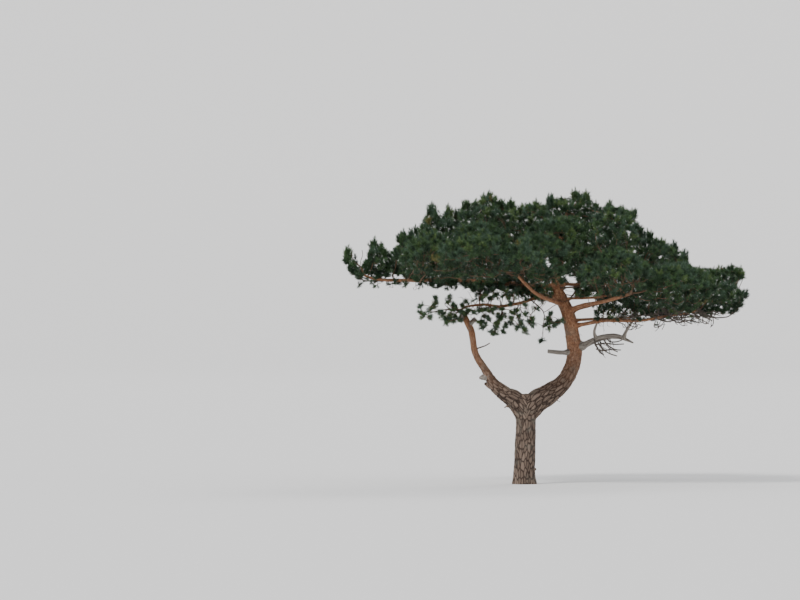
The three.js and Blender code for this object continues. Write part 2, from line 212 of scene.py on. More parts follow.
# %% A plane across a solid
def slice_of(triangles, at, facing, reach=None):
    """The area and the middle of what the plane cuts out, of faces within reach of at."""
    heights = (triangles - at) @ facing
    crossing = (heights.min(axis=1) < 0) & (heights.max(axis=1) >= 0)
    if reach is not None:
        crossing &= np.linalg.norm(triangles.mean(axis=1) - at, axis=1) < reach
    cut = triangles[crossing]
    heights = heights[crossing]
    ends = []
    for a, b in ((0, 1), (1, 2), (2, 0)):
        meets = (heights[:, a] < 0) != (heights[:, b] < 0)
        drop = np.where(meets, heights[:, a] - heights[:, b], 1)
        share = np.where(meets, heights[:, a] / drop, 0)[:, None]
        ends.append((meets, cut[:, a] + share * (cut[:, b] - cut[:, a])))
    area, middle = 0.0, np.zeros(3)
    for row in range(len(cut)):
        p, q = [place[row] - at for meets, place in ends if meets[row]]
        face = np.cross(cut[row, 1] - cut[row, 0], cut[row, 2] - cut[row, 0])
        if (q - p) @ np.cross(facing, face) < 0:
            p, q = q, p
        wedge = np.cross(p, q) @ facing / 2
        area += wedge
        middle += wedge * (p + q) / 3
    return (area, at + middle / area) if area > 1e-7 else None


# %% Lines of all the limbs
cut_spacing = 0.06
carried_by = {
    "leader_lower": "trunk", "left_limb_lower": "trunk", "leader_upper": "leader_lower",
    "left_limb_upper": "left_limb_lower", "left_snag": "left_limb_lower", "left_stub": "left_limb_upper",
    "dead_shoot_left": "dead_bough", "dead_shoot_right": "dead_bough",
}


def directions_along(line):
    runs = np.gradient(line, axis=0)
    return runs / np.linalg.norm(runs, axis=1, keepdims=True)


def read_limb(name, foot):
    """The line and the radii of a limb, from the end that is nearer to foot."""
    triangles = solid[name]
    places = triangles.reshape(-1, 3)
    middle = places.mean(axis=0)
    long_way = np.linalg.svd(places - middle, full_matrices=False)[2][0]
    if (foot - middle) @ long_way > 0:
        long_way = -long_way
    along = (places - middle) @ long_way
    count = max(6, round((along.max() - along.min()) / cut_spacing))
    line = []
    for share in np.linspace(0.01, 0.985, count):
        at = middle + long_way * (along.min() + share * (along.max() - along.min()))
        found = slice_of(triangles, at, long_way)
        if found:
            line.append(found[1])
    line = np.array(line)
    radii = []
    for i, facing in enumerate(directions_along(line)):
        found = slice_of(triangles, line[i], facing, reach=0.45)
        line[i] = found[1] if found else line[i]
        radii.append(math.sqrt(found[0] / math.pi) if found else radii[-1])
    return line, np.array(radii)


limb_line, limb_radii = {}, {}
for name in sorted(limbs, key=lambda n: (n != "trunk", n not in carried_by, n != "leader_lower", n)):
    parent = carried_by.get(name, "leader_upper")
    foot = np.zeros(3)
    if name != "trunk":
        ends = solid[name].reshape(-1, 3)
        host = solid[parent].reshape(-1, 3)
        gaps = np.linalg.norm(ends[:, None] - host[None], axis=2).min(axis=1)
        foot = ends[gaps.argmin()]
    limb_line[name], limb_radii[name] = read_limb(name, foot)
    print(name, len(limb_line[name]), "cuts, radius", np.round(limb_radii[name][[1, -2]], 3))

# %% Mend the ends of the lines
# How many cuts, at a limb's foot and at its end, lie within a joint and read wrong
lost_cuts = {"trunk": (0, 1), "leader_lower": (2, 2), "left_limb_lower": (2, 2), "leader_upper": (2, 0)}
usual_loss = (1, 0)
saddle_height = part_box("trunk")[1].z


def lengths_along(line):
    return np.r_[0, np.cumsum(np.linalg.norm(np.diff(line, axis=0), axis=1))]


def evenly(line, radii, spacing):
    """The same run, with its places a fixed step apart."""
    lengths = lengths_along(line)
    marks = np.linspace(0, lengths[-1], max(3, round(lengths[-1] / spacing)))
    places = np.column_stack([np.interp(marks, lengths, line[:, axis]) for axis in range(3)])
    return places, np.interp(marks, lengths, radii)


def eased(values, passes):
    values = values.copy()
    for _ in range(passes):
        values[1:-1] = (values[:-2] + 2 * values[1:-1] + values[2:]) / 4
    return values


for name in limbs:
    at_foot, at_end = lost_cuts.get(name, usual_loss)
    kept = slice(at_foot, len(limb_line[name]) - at_end)
    limb_line[name] = limb_line[name][kept]
    limb_radii[name] = limb_radii[name][kept]
limb_line["trunk"][0][2] = 0.0
print("the saddle of the fork is", round(saddle_height, 2), "m up")

# %% [markdown]
# ## Runs of wood
# The grain of a tree runs on through a fork, and a bough's wood starts inside the limb that carries it,
# with a swollen collar where it comes out. So the leader's run starts at the foot of the trunk, the left
# limb's run leaves it below the fork, and each bough starts on the middle line of its carrier.

# %% Join the limbs into runs
run_spacing = 0.03
fork_low = 1.3
collar_swell = 0.4
collar_reach = 0.05
gains = {"dead_": 1.2, "bough_": 1.15, "le": 1.08}
skin_loss = 0.002
saddle_drop = 0.02
end_corners = 6
snapped = {"left_snag": (0.085, 0.066, 0.02), "left_stub": (0.052, 0.045, 0.038)}
boughs = sorted(name for name in limbs if name.startswith("bough_"))
dead_limbs = ["dead_bough", "leader_stub", "left_snag", "left_stub", "dead_shoot_left", "dead_shoot_right"]


def joined(*parts):
    line = np.vstack([part[0] for part in parts])
    radii = np.concatenate([part[1] for part in parts])
    line, radii = evenly(line, radii, run_spacing)
    return eased(line, 3), eased(radii, 3)


def limb(name):
    """A limb's line and radii, with what the smoothing and the carving will take away added."""
    gain = next((gain for start, gain in gains.items() if name.startswith(start)), 1.08)
    return limb_line[name], limb_radii[name] * gain + skin_loss


def broken_end(name, carrier, radii):
    """A snapped end's run, from inside its carrier to the far tip of its node."""
    corners = solid[name].reshape(-1, 3)
    gaps = np.linalg.norm(corners[:, None] - carrier[0][None], axis=2).min(axis=1)
    tip = corners[np.argsort(gaps)[-end_corners:]].mean(axis=0)
    root = corners[np.argsort(gaps)[:end_corners]].mean(axis=0)
    inside = carrier[0][np.linalg.norm(carrier[0] - root, axis=1).argmin()]
    line = np.array([inside, (inside + tip) / 2, tip])
    line, radii = evenly(line, np.array(radii), run_spacing / 2)
    return eased(line, 4), eased(radii, 2)


def starting_inside(name, carrier):
    """A limb's run from the middle of its carrier, with a collar where it comes out."""
    line, radii = limb(name)
    carrier_line, carrier_radii = carrier
    nearest = np.linalg.norm(carrier_line - line[0], axis=1).argmin()
    line = np.vstack([carrier_line[nearest], line])
    radii = np.r_[radii[0], radii]
    line, radii = evenly(line, radii, run_spacing / 2)
    line, radii = eased(line, 4), eased(radii, 4)
    gaps = np.linalg.norm(carrier_line[None] - line[:, None], axis=2) - carrier_radii[None]
    clear = np.maximum(gaps.min(axis=1), 0)
    return line, radii * (1 + collar_swell * np.exp(-((clear / collar_reach) ** 2)))


def reaching(run, host):
    """The run, carried on to the middle of the bough that it meets."""
    line, radii = run
    nearest = np.linalg.norm(host[0] - line[-1], axis=1).argmin()
    return evenly(np.vstack([line, host[0][nearest]]), np.r_[radii, radii[-1]], run_spacing / 2)


trunk_line, trunk_radii = limb("trunk")
below_fork = trunk_line[:, 2] < fork_low
stem = (trunk_line[below_fork], trunk_radii[below_fork])
runs = {
    "leader": joined(stem, limb("leader_lower"), limb("leader_upper")),
    "left_limb": joined(stem, limb("left_limb_lower"), limb("left_limb_upper")),
}
saddle = (np.array([[*trunk_line[-1][:2], saddle_height - saddle_drop]]), trunk_radii[-1:])
runs["fork_top"] = joined(limb("trunk"), saddle)
for name in boughs + dead_limbs:
    carrier = runs["left_limb"] if name.startswith("left_") else runs["leader"]
    if name in snapped:
        runs[name] = broken_end(name, carrier, snapped[name])
    elif name.startswith("dead_shoot"):
        runs[name] = reaching(starting_inside(name, runs["dead_bough"]), runs["bough_right_low"])
    else:
        runs[name] = starting_inside(name, carrier)
for name, (line, radii) in runs.items():
    print(name, round(lengths_along(line)[-1], 2), "m long, radius", np.round(radii[[0, -1]], 3))

# %% [markdown]
# ## One skin for the wood
# Every run becomes a tube, and a voxel remesh fuses the tubes into one closed skin. A few passes of
# smoothing round the crotches as growth does. Booleans would join the tubes too, but they leave sharp
# creases, and metaballs would swell the limbs.

# %% Tubes
around = 22
ring = np.linspace(0, 2 * np.pi, around, endpoint=False)


def frames_along(line):
    """Along each run, its direction and two directions square to it, carried on without twisting."""
    forward = directions_along(line)
    side = np.array([1.0, 0, 0]) if abs(forward[0][0]) < 0.9 else np.array([0, 1.0, 0])
    across = []
    for direction in forward:
        side = side - (side @ direction) * direction
        side = side / np.linalg.norm(side)
        across.append(side)
    across = np.array(across)
    return forward, across, np.cross(forward, across)


foot_corners = np.unique(np.round(solid["trunk"].reshape(-1, 3), 4), axis=0)
foot_corners = foot_corners[(foot_corners[:, 2] < 0.001) & (np.hypot(*foot_corners[:, :2].T) > 0.05)]
foot_angles = np.arctan2(foot_corners[:, 1], foot_corners[:, 0])
foot_reach = np.hypot(foot_corners[:, 0], foot_corners[:, 1])
lobes, lobe_height = 5, 0.24
lobe_swing = 2 * ((foot_reach / foot_reach.mean() - 1) * np.exp(1j * lobes * foot_angles)).mean()


def tube(line, radii, root_lobes=False):
    _, across, upright = frames_along(line)
    reach = np.repeat(radii[:, None], around, axis=1)
    if root_lobes:
        wave = (lobe_swing * np.exp(-1j * lobes * ring)).real
        reach = reach * (1 + wave[None] * np.exp(-line[:, 2:] / lobe_height))
    outward = np.cos(ring)[None, :, None] * across[:, None] + np.sin(ring)[None, :, None] * upright[:, None]
    corners = (line[:, None] + reach[:, :, None] * outward).reshape(-1, 3)
    faces = []
    for row in range(len(line) - 1):
        for turn in range(around):
            here = row * around + turn
            there = row * around + (turn + 1) % around
            faces.append((here, there, there + around, here + around))
    faces.append(tuple(range(around - 1, -1, -1)))
    faces.append(tuple(range((len(line) - 1) * around, len(line) * around)))
    return corners, faces


print("the foot's lobes swell by", round(abs(lobe_swing) * 100, 1), "% of its radius")


# %% Knobs and snags
small_snags = {
    "knob low on the trunk": (((526, 470.5), (532, 470), (536.6, 469)), (0.050, 0.040, 0.018)),
    "knuckle under the left snag": (((500, 388), (492, 387), (484.5, 383.5)), (0.062, 0.056, 0.030)),
    "swelling under the dead bough": (((577, 370), (580.5, 360), (581, 350)), (0.045, 0.062, 0.052)),
    "spur under the left limb": (((517, 402), (510, 405.5), (504, 407.5)), (0.045, 0.026, 0.010)),
    "snag under the leader": (((549, 393), (555, 399.5), (560.5, 402)), (0.050, 0.024, 0.008)),
}
snag_tubes = []
for title, (spots, radii) in small_snags.items():
    snag_tubes.append(tube(*evenly(from_picture(spots), np.array(radii), run_spacing / 2)))
    print(title)


# %% Fuse the tubes
def settled(piece):
    """Turns what the modifiers make into the piece's own plain mesh."""
    graph = bpy.context.evaluated_depsgraph_get()
    made = bpy.data.meshes.new_from_object(piece.evaluated_get(graph))
    piece.modifiers.clear()
    old = piece.data
    piece.data = made
    bpy.data.meshes.remove(old)


def fused(name, tubes, voxel, passes=6):
    corners, faces, first = [], [], 0
    for tube_corners, tube_faces in tubes:
        corners.append(tube_corners)
        faces += [tuple(first + corner for corner in face) for face in tube_faces]
        first += len(tube_corners)
    skin = mesh_object(name, np.vstack(corners), faces)
    remesh = skin.modifiers.new("one_skin", "REMESH")
    remesh.mode = "VOXEL"
    remesh.voxel_size = voxel
    ease = skin.modifiers.new("ease", "SMOOTH")
    ease.factor = 0.5
    ease.iterations = passes
    settled(skin)
    return skin


def below_ground(run, depth=0.06):
    """The run with its foot carried down, so that the flat cut at the ground is clean."""
    line, radii = run
    return np.vstack([line[0] - [0, 0, depth], line]), np.r_[radii[0] * 1.02, radii]


def between(run, low, high):
    line, radii = run
    kept = (line[:, 2] > low) & (line[:, 2] < high)
    return line[kept], radii[kept]


def bend_of(run, lower, upper):
    """Where a limb was snapped long ago, and the way that it faces there."""
    meeting = (limb_line[lower][-1] + limb_line[upper][0]) / 2
    nearest = np.linalg.norm(run[0] - meeting, axis=1).argmin()
    return run[0][nearest], directions_along(run[0])[nearest]


past_bend = 0.14
leader_bend = bend_of(runs["leader"], "leader_lower", "leader_upper")
left_bend = bend_of(runs["left_limb"], "left_limb_lower", "left_limb_upper")
leader_height, left_height = leader_bend[0][2], left_bend[0][2]
lower_tubes = [
    tube(*below_ground(runs["fork_top"]), root_lobes=True),
    tube(*below_ground(between(runs["leader"], -1, leader_height + past_bend)), root_lobes=True),
    tube(*below_ground(between(runs["left_limb"], -1, left_height + past_bend)), root_lobes=True),
    *snag_tubes,
]
upper_tubes = [tube(*between(runs["leader"], leader_height - past_bend, 9))]
upper_tubes += [tube(*runs[name]) for name in boughs]
left_tubes = [tube(*between(runs["left_limb"], left_height - past_bend, 9))]
trunk_skin = fused("trunk_and_fork", lower_tubes, 0.0075)
leader_skin = fused("leader_and_boughs", upper_tubes, 0.009, passes=4)
left_skin = fused("left_limb", left_tubes, 0.0065, passes=4)
dead_skin = fused("dead_wood", [tube(*runs[name]) for name in dead_limbs], 0.005, passes=2)
for skin in (trunk_skin, leader_skin, left_skin, dead_skin):
    print(skin.name, len(skin.data.polygons), "faces")

# %% [markdown]
# ## Bark that follows the limbs
# Bark on an old pine is broken into long plates with deep fissures low down, and thin orange flakes high
# up. The plates run along each limb, so a pattern in plain space would slide off a leaning one. Every
# corner of the skin is given its place in the limb's own terms: two lengths across it and one along it.

# %% Where each corner lies on its limb
bark_low, bark_high = 1.5, 2.9
calm_reach = 0.03
plate_relief, flake_relief = 0.012, 0.0025
full_relief_girth = 0.1
corners_at_once = 20000


def set_values(mesh, name, kind, values):
    attribute = mesh.attributes.new(name, kind, "POINT")
    field = "vector" if kind == "FLOAT_VECTOR" else "value"
    attribute.data.foreach_set(field, np.ascontiguousarray(values).ravel())


def mark_bark(skin, names):
    """Writes each corner's place along and across its limb, its age and its relief."""
    mesh = skin.data
    corners = corners_of(mesh)
    best = np.full(len(corners), np.inf)
    second = best.copy()
    place = np.zeros_like(corners)
    girth = np.zeros(len(corners))
    for name in names:
        line, radii = runs[name]
        forward, across, upright = frames_along(line)
        lengths = lengths_along(line)
        nearest = np.empty(len(corners), dtype=int)
        for first in range(0, len(corners), corners_at_once):
            some = corners[first:first + corners_at_once]
            apart = (line ** 2).sum(axis=1)[None] - 2 * some @ line.T
            nearest[first:first + corners_at_once] = apart.argmin(axis=1)
        offset = corners - line[nearest]
        aside = (offset * across[nearest]).sum(axis=1)
        above = (offset * upright[nearest]).sum(axis=1)
        onward = lengths[nearest] + (offset * forward[nearest]).sum(axis=1)
        gap = np.linalg.norm(offset, axis=1) - radii[nearest]
        nearer = gap < best
        second = np.where(nearer, best, np.minimum(second, gap))
        best = np.where(nearer, gap, best)
        place[nearer] = np.stack([aside, above, onward], axis=1)[nearer]
        girth[nearer] = radii[nearest][nearer]
    calm = np.clip((second - best) / calm_reach, 0, 1)
    age = np.clip((bark_high - corners[:, 2]) / (bark_high - bark_low), 0, 1)
    age = age * age * (3 - 2 * age)
    relief = (flake_relief + (plate_relief - flake_relief) * age) * calm
    relief *= np.clip(girth / full_relief_girth, 0.2, 1)
    set_values(mesh, "bark_place", "FLOAT_VECTOR", place)
    set_values(mesh, "bark_age", "FLOAT", age)
    set_values(mesh, "bark_relief", "FLOAT", relief)
    set_values(mesh, "bark_girth", "FLOAT", girth)
    return age


mark_bark(trunk_skin, ["leader", "left_limb"])
mark_bark(leader_skin, ["leader", *boughs])
mark_bark(left_skin, ["left_limb"])
mark_bark(dead_skin, dead_limbs)
print("bark is oldest below", bark_low, "m and young above", bark_high, "m")

# %% [markdown]
# ## Plates and fissures in the mesh
# The plates are cells of a Voronoi pattern, drawn out along the limb, and the distance to the nearest
# cell edge makes the fissures. Geometry Nodes push the skin in along those edges. The same few nodes are
# made again in a shader group further on, so the dark of a fissure falls where the skin goes in.

# %% The plate pattern, for either kind of node tree
plate_width, plate_length = 0.05, 0.15
plate_warp = 0.25


def linked(tree, kind, **wires):
    """Adds a node, and gives its inputs values or wires them to other nodes' outputs."""
    node = tree.nodes.new(kind)
    for name, value in wires.items():
        if name.startswith("set_"):
            setattr(node, name[4:], value)
            continue
        spot = node.inputs[int(name[1:])] if name[1:].isdigit() else node.inputs[name.replace("_", " ")]
        if isinstance(value, bpy.types.NodeSocket):
            tree.links.new(value, spot)
        else:
            spot.default_value = value
    return node


def plate_pattern(tree, place, width, length):
    """Sockets for the distance to the nearest fissure and for a number of each plate's own."""
    wide = linked(tree, "ShaderNodeMath", set_operation="DIVIDE", i0=1.0, i1=width)
    long = linked(tree, "ShaderNodeMath", set_operation="DIVIDE", i0=1.0, i1=length)
    size = linked(tree, "ShaderNodeCombineXYZ", X=wide.outputs[0], Y=wide.outputs[0], Z=long.outputs[0])
    drawn = linked(tree, "ShaderNodeVectorMath", set_operation="MULTIPLY", i0=place, i1=size.outputs[0])
    wobble = linked(tree, "ShaderNodeTexNoise", Vector=drawn.outputs[0], Scale=1.3, Detail=2.0)
    swung = linked(
        tree, "ShaderNodeVectorMath", set_operation="MULTIPLY_ADD",
        i0=wobble.outputs["Color"], i1=(plate_warp * 2,) * 3, i2=drawn.outputs[0],
    )
    edge = linked(
        tree, "ShaderNodeTexVoronoi", set_feature="DISTANCE_TO_EDGE",
        Vector=swung.outputs[0], Scale=1.0, Randomness=0.9,
    )
    cell = linked(
        tree, "ShaderNodeTexVoronoi", set_feature="F1",
        Vector=swung.outputs[0], Scale=1.0, Randomness=0.9,
    )
    own = linked(tree, "ShaderNodeSeparateXYZ", Vector=cell.outputs["Color"])
    return edge.outputs["Distance"], own.outputs[0]


# %% A tree that carves the bark
def new_tree(name, inputs):
    """An empty Geometry Nodes tree with a geometry in, a geometry out and the named inputs."""
    tree = bpy.data.node_groups.new(name, "GeometryNodeTree")
    tree.interface.new_socket("Geometry", in_out="INPUT", socket_type="NodeSocketGeometry")
    for title, kind in inputs:
        tree.interface.new_socket(title, in_out="INPUT", socket_type=kind)
    tree.interface.new_socket("Geometry", in_out="OUTPUT", socket_type="NodeSocketGeometry")
    return tree, tree.nodes.new("NodeGroupInput"), tree.nodes.new("NodeGroupOutput")


def attribute_of(tree, name, kind):
    node = tree.nodes.new("GeometryNodeInputNamedAttribute")
    node.data_type = kind
    node.inputs["Name"].default_value = name
    return node.outputs["Attribute"]


def run_tree(piece, tree, values):
    """Puts a tree on a piece, sets its inputs by their identifiers and keeps the plain mesh."""
    modifier = piece.modifiers.new(tree.name, "NODES")
    modifier.node_group = tree
    for item in tree.interface.items_tree:
        if item.in_out == "INPUT" and item.name in values:
            modifier[item.identifier] = values[item.name]
    settled(piece)


carving, given, result = new_tree("carve_bark", [
    ("Plate Width", "NodeSocketFloat"), ("Plate Length", "NodeSocketFloat"),
    ("Lump Share", "NodeSocketFloat"), ("Bark", "NodeSocketMaterial"),
])
place = attribute_of(carving, "bark_place", "FLOAT_VECTOR")
relief = attribute_of(carving, "bark_relief", "FLOAT")
girth = attribute_of(carving, "bark_girth", "FLOAT")
edge, own = plate_pattern(carving, place, given.outputs["Plate Width"], given.outputs["Plate Length"])
top = linked(
    carving, "ShaderNodeMapRange", set_interpolation_type="SMOOTHSTEP",
    i0=edge, i1=0.0, i2=0.26, i3=-1.0, i4=0.0,
)
tilt = linked(carving, "ShaderNodeMath", set_operation="MULTIPLY_ADD", i0=own, i1=0.5, i2=top.outputs[0])
plates = linked(carving, "ShaderNodeMath", set_operation="MULTIPLY", i0=tilt.outputs[0], i1=relief)
swell = linked(carving, "ShaderNodeTexNoise", Vector=place, Scale=6.0, Detail=2.0)
swell_share = linked(carving, "ShaderNodeMath", set_operation="SUBTRACT", i0=swell.outputs[0], i1=0.5)
swell_size = linked(
    carving, "ShaderNodeMath", set_operation="MULTIPLY", i0=girth, i1=given.outputs["Lump Share"],
)
height = linked(
    carving, "ShaderNodeMath", set_operation="MULTIPLY_ADD",
    i0=swell_share.outputs[0], i1=swell_size.outputs[0], i2=plates.outputs[0],
)
outward = linked(
    carving, "ShaderNodeVectorMath", set_operation="SCALE",
    i0=carving.nodes.new("GeometryNodeInputNormal").outputs[0], Scale=height.outputs[0],
)
moved = linked(
    carving, "GeometryNodeSetPosition", Geometry=given.outputs["Geometry"], Offset=outward.outputs[0],
)
smooth = linked(carving, "GeometryNodeSetShadeSmooth", Geometry=moved.outputs[0])
real = linked(carving, "GeometryNodeRealizeInstances", Geometry=smooth.outputs[0])
clad = linked(carving, "GeometryNodeSetMaterial", Geometry=real.outputs[0], Material=given.outputs["Bark"])
carving.links.new(clad.outputs[0], result.inputs["Geometry"])
print("the tree", carving.name, "has", len(carving.nodes), "nodes")

# %% [markdown]
# ## Colours of the bark
# The low plates are grey-brown over dark fissures. Higher up, the bark thins to orange and pale red
# flakes, as on any scots pine. Dead wood has lost its bark and is grey, with streaks along the grain.

# %% A shader group for plates
bark_group = bpy.data.node_groups.new("Bark Plates", "ShaderNodeTree")
for title, kind in (("Place", "NodeSocketVector"), ("Plate Width", "NodeSocketFloat"),
                    ("Plate Length", "NodeSocketFloat"), ("Fissure Width", "NodeSocketFloat")):
    bark_group.interface.new_socket(title, in_out="INPUT", socket_type=kind)
for title in ("Fissure", "Plate", "Grit"):
    bark_group.interface.new_socket(title, in_out="OUTPUT", socket_type="NodeSocketFloat")
given = bark_group.nodes.new("NodeGroupInput")
result = bark_group.nodes.new("NodeGroupOutput")
edge, own = plate_pattern(
    bark_group, given.outputs["Place"], given.outputs["Plate Width"], given.outputs["Plate Length"],
)
fissure = linked(
    bark_group, "ShaderNodeMapRange", set_interpolation_type="SMOOTHSTEP",
    i0=edge, i1=0.0, i2=given.outputs["Fissure Width"], i3=1.0, i4=0.0,
)
grit = linked(
    bark_group, "ShaderNodeTexNoise", Vector=given.outputs["Place"], Scale=90.0, Detail=4.0, Roughness=0.6,
)
bark_group.links.new(fissure.outputs[0], result.inputs["Fissure"])
bark_group.links.new(own, result.inputs["Plate"])
bark_group.links.new(grit.outputs[0], result.inputs["Grit"])


# %% Bark and dead wood materials
def mixed(tree, share, one, other):
    """A colour between two, by a share from 0 to 1."""
    node = linked(tree, "ShaderNodeMix", set_data_type="RGBA", Factor=share)
    for value, spot in ((one, node.inputs[6]), (other, node.inputs[7])):
        if isinstance(value, bpy.types.NodeSocket):
            tree.links.new(value, spot)
        else:
            spot.default_value = (*value, 1)
    return node.outputs[2]


def reading(tree, name):
    node = tree.nodes.new("ShaderNodeAttribute")
    node.attribute_name = name
    return node


def bark_material(name):
    material = plain_material(name, (0.2, 0.12, 0.08), 0.85, 0.25)
    tree = material.node_tree
    shader = tree.nodes["Principled BSDF"]
    place = reading(tree, "bark_place").outputs["Vector"]
    age = reading(tree, "bark_age").outputs["Fac"]
    plates = linked(tree, "ShaderNodeGroup", set_node_tree=bark_group, Place=place,
                    Plate_Width=plate_width, Plate_Length=plate_length, Fissure_Width=0.2)
    flakes = linked(tree, "ShaderNodeGroup", set_node_tree=bark_group, Place=place,
                    Plate_Width=plate_width * 0.5, Plate_Length=plate_length * 0.4, Fissure_Width=0.12)
    old = mixed(tree, plates.outputs["Plate"], (0.115, 0.082, 0.062), (0.205, 0.150, 0.115))
    old = mixed(tree, plates.outputs["Fissure"], old, (0.030, 0.019, 0.014))
    young = mixed(tree, flakes.outputs["Plate"], (0.230, 0.098, 0.046), (0.370, 0.195, 0.105))
    young = mixed(tree, flakes.outputs["Fissure"], young, (0.120, 0.048, 0.024))
    bark = mixed(tree, age, young, old)
    patches = linked(tree, "ShaderNodeTexNoise", Vector=place, Scale=5.0, Detail=3.0)
    weather = linked(tree, "ShaderNodeMapRange", i0=patches.outputs[0], i1=0.52, i2=0.75, i3=0.0, i4=0.45)
    bark = mixed(tree, weather.outputs[0], bark, (0.135, 0.130, 0.105))
    tree.links.new(bark, shader.inputs["Base Color"])
    rough = linked(tree, "ShaderNodeMapRange", i0=age, i1=0.0, i2=1.0, i3=0.68, i4=0.9)
    tree.links.new(rough.outputs[0], shader.inputs["Roughness"])
    fine = linked(tree, "ShaderNodeMath", set_operation="SUBTRACT",
                  i0=plates.outputs["Grit"], i1=flakes.outputs["Fissure"])
    bump = linked(tree, "ShaderNodeBump", Strength=0.6, Distance=0.004, Height=fine.outputs[0])
    tree.links.new(bump.outputs[0], shader.inputs["Normal"])
    return material


def dead_material(name):
    material = plain_material(name, (0.25, 0.22, 0.19), 0.8, 0.2)
    tree = material.node_tree
    shader = tree.nodes["Principled BSDF"]
    place = reading(tree, "bark_place").outputs["Vector"]
    drawn = linked(tree, "ShaderNodeVectorMath", set_operation="MULTIPLY", i0=place, i1=(60, 60, 5))
    grain = linked(tree, "ShaderNodeTexNoise", Vector=drawn.outputs[0], Scale=1.0, Detail=5.0)
    streak = linked(tree, "ShaderNodeMapRange", i0=grain.outputs[0], i1=0.35, i2=0.65, i3=0.0, i4=1.0)
    grey = mixed(tree, streak.outputs[0], (0.105, 0.088, 0.074), (0.300, 0.270, 0.235))
    tree.links.new(grey, shader.inputs["Base Color"])
    bump = linked(tree, "ShaderNodeBump", Strength=0.7, Distance=0.003, Height=grain.outputs[0])
    tree.links.new(bump.outputs[0], shader.inputs["Normal"])
    return material


fork_bark = bark_material("plated_bark")
flaky_bark = bark_material("flaky_bark")
grey_wood = dead_material("weathered_wood")
print("three materials for the wood")


# %% Carve, cut and cap the skins
def cut_at(skin, place, facing, reach=0.5):
    """Cuts off what lies beyond a plane, near a place, and closes the cut with a flat face."""
    mesh = skin.data
    form = bmesh.new()
    form.from_mesh(mesh)
    place, facing = Vector(place), Vector(facing)
    near = [face for face in form.faces if (face.calc_center_median() - place).length < reach]
    parts = set(near)
    for face in near:
        parts.update(face.edges)
        parts.update(face.verts)
    made = bmesh.ops.bisect_plane(
        form, geom=list(parts), plane_co=place, plane_no=facing, clear_outer=True, dist=1e-5,
    )
    rim = [edge for edge in made["geom_cut"] if isinstance(edge, bmesh.types.BMEdge)]
    caps = bmesh.ops.contextual_create(form, geom=rim)["faces"]
    for cap in caps:
        cap.smooth = False
        for edge in cap.edges:
            edge.smooth = False
    bmesh.ops.recalc_face_normals(form, faces=form.faces)
    form.to_mesh(mesh)
    form.free()
    return len(caps)


def clad_in_bark(skin, material, lump_share):
    run_tree(skin, carving, {
        "Plate Width": plate_width, "Plate Length": plate_length, "Lump Share": lump_share, "Bark": material,
    })


clad_in_bark(trunk_skin, fork_bark, 0.16)
clad_in_bark(leader_skin, flaky_bark, 0.22)
clad_in_bark(left_skin, flaky_bark, 0.22)
clad_in_bark(dead_skin, grey_wood, 0.3)
caps = cut_at(trunk_skin, (0, 0, 0), (0, 0, -1))
caps += cut_at(trunk_skin, *leader_bend)
caps += cut_at(trunk_skin, *left_bend)
caps += cut_at(leader_skin, leader_bend[0], -leader_bend[1])
caps += cut_at(left_skin, left_bend[0], -left_bend[1])
print(caps, "flat caps")

# %% Hang the wood on the root body and hide the parts that it replaces
def triangles_in(piece):
    return sum(len(face.vertices) - 2 for face in piece.data.polygons)


for piece, slot, replaced in (
    (trunk_skin, "trunk_bark", ["trunk", "leader_lower", "left_limb_lower"]),
    (leader_skin, "upper_bark", ["leader_upper", *boughs]),
    (left_skin, "upper_bark", ["left_limb_upper"]),
    (dead_skin, "dead_wood", dead_limbs),
):
    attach(piece, "root")
    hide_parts(*replaced)
    print(piece.name, triangles_in(piece), "triangles")

# %% [markdown]
# ## Where shoots stand
# A pine carries its needles on the young shoots at the outside of each pad of foliage, with bare twigs
# within and beneath. So spots are scattered over the masses, and those that a neighbouring mass covers
# are left out. The rest are thinned until none stand closer than a shoot's own width, and each is moved
# a little way in, so that the needles end at the surface.

# %% Spots on the masses
crown_seed = 20
spots_per_square_metre = 320
cover_reach, off_the_skin = 0.13, 0.012
rng = np.random.default_rng(crown_seed)
mass_corners = np.vstack([solid[name].reshape(-1, 3) for name in masses])
mass_faces = np.arange(len(mass_corners)).reshape(-1, 3)
crown_tree = BVHTree.FromPolygons([tuple(c) for c in mass_corners], [tuple(f) for f in mass_faces.tolist()])
mass_of_face = np.repeat(range(len(masses)), [len(solid[name]) for name in masses])
mass_middle = {name: solid[name].reshape(-1, 3).mean(axis=0) for name in masses}
sparse_masses = [name for name in masses if name.endswith("_sprays")]


def spots_on(name):
    """Random places on a mass, with the way that the surface faces there."""
    triangles = solid[name]
    across = np.cross(triangles[:, 1] - triangles[:, 0], triangles[:, 2] - triangles[:, 0])
    areas = np.linalg.norm(across, axis=1) / 2
    count = int(areas.sum() * spots_per_square_metre)
    picks = rng.choice(len(triangles), count, p=areas / areas.sum())
    u, v = rng.random((2, count, 1))
    over = u + v > 1
    u, v = np.where(over, 1 - u, u), np.where(over, 1 - v, v)
    first = triangles[picks, 0]
    places = first + u * (triangles[picks, 1] - first) + v * (triangles[picks, 2] - first)
    return places, across[picks] / (2 * areas[picks, None])


def covered(place, facing):
    """Whether another part of the crown lies close in front of a spot."""
    start = Vector(place) + Vector(facing) * off_the_skin
    return crown_tree.ray_cast(start, Vector(facing), cover_reach)[0] is not None


spot_places, spot_facing, spot_mass = [], [], []
for number, name in enumerate(masses):
    if name in sparse_masses:
        continue
    places, facing = spots_on(name)
    shown = [i for i in range(len(places)) if not covered(places[i], facing[i])]
    spot_places.append(places[shown])
    spot_facing.append(facing[shown])
    spot_mass.append(np.full(len(shown), number))
spot_places, spot_facing = np.vstack(spot_places), np.vstack(spot_facing)
spot_mass = np.concatenate(spot_mass)
print(len(spot_places), "spots on the outside of the crown")


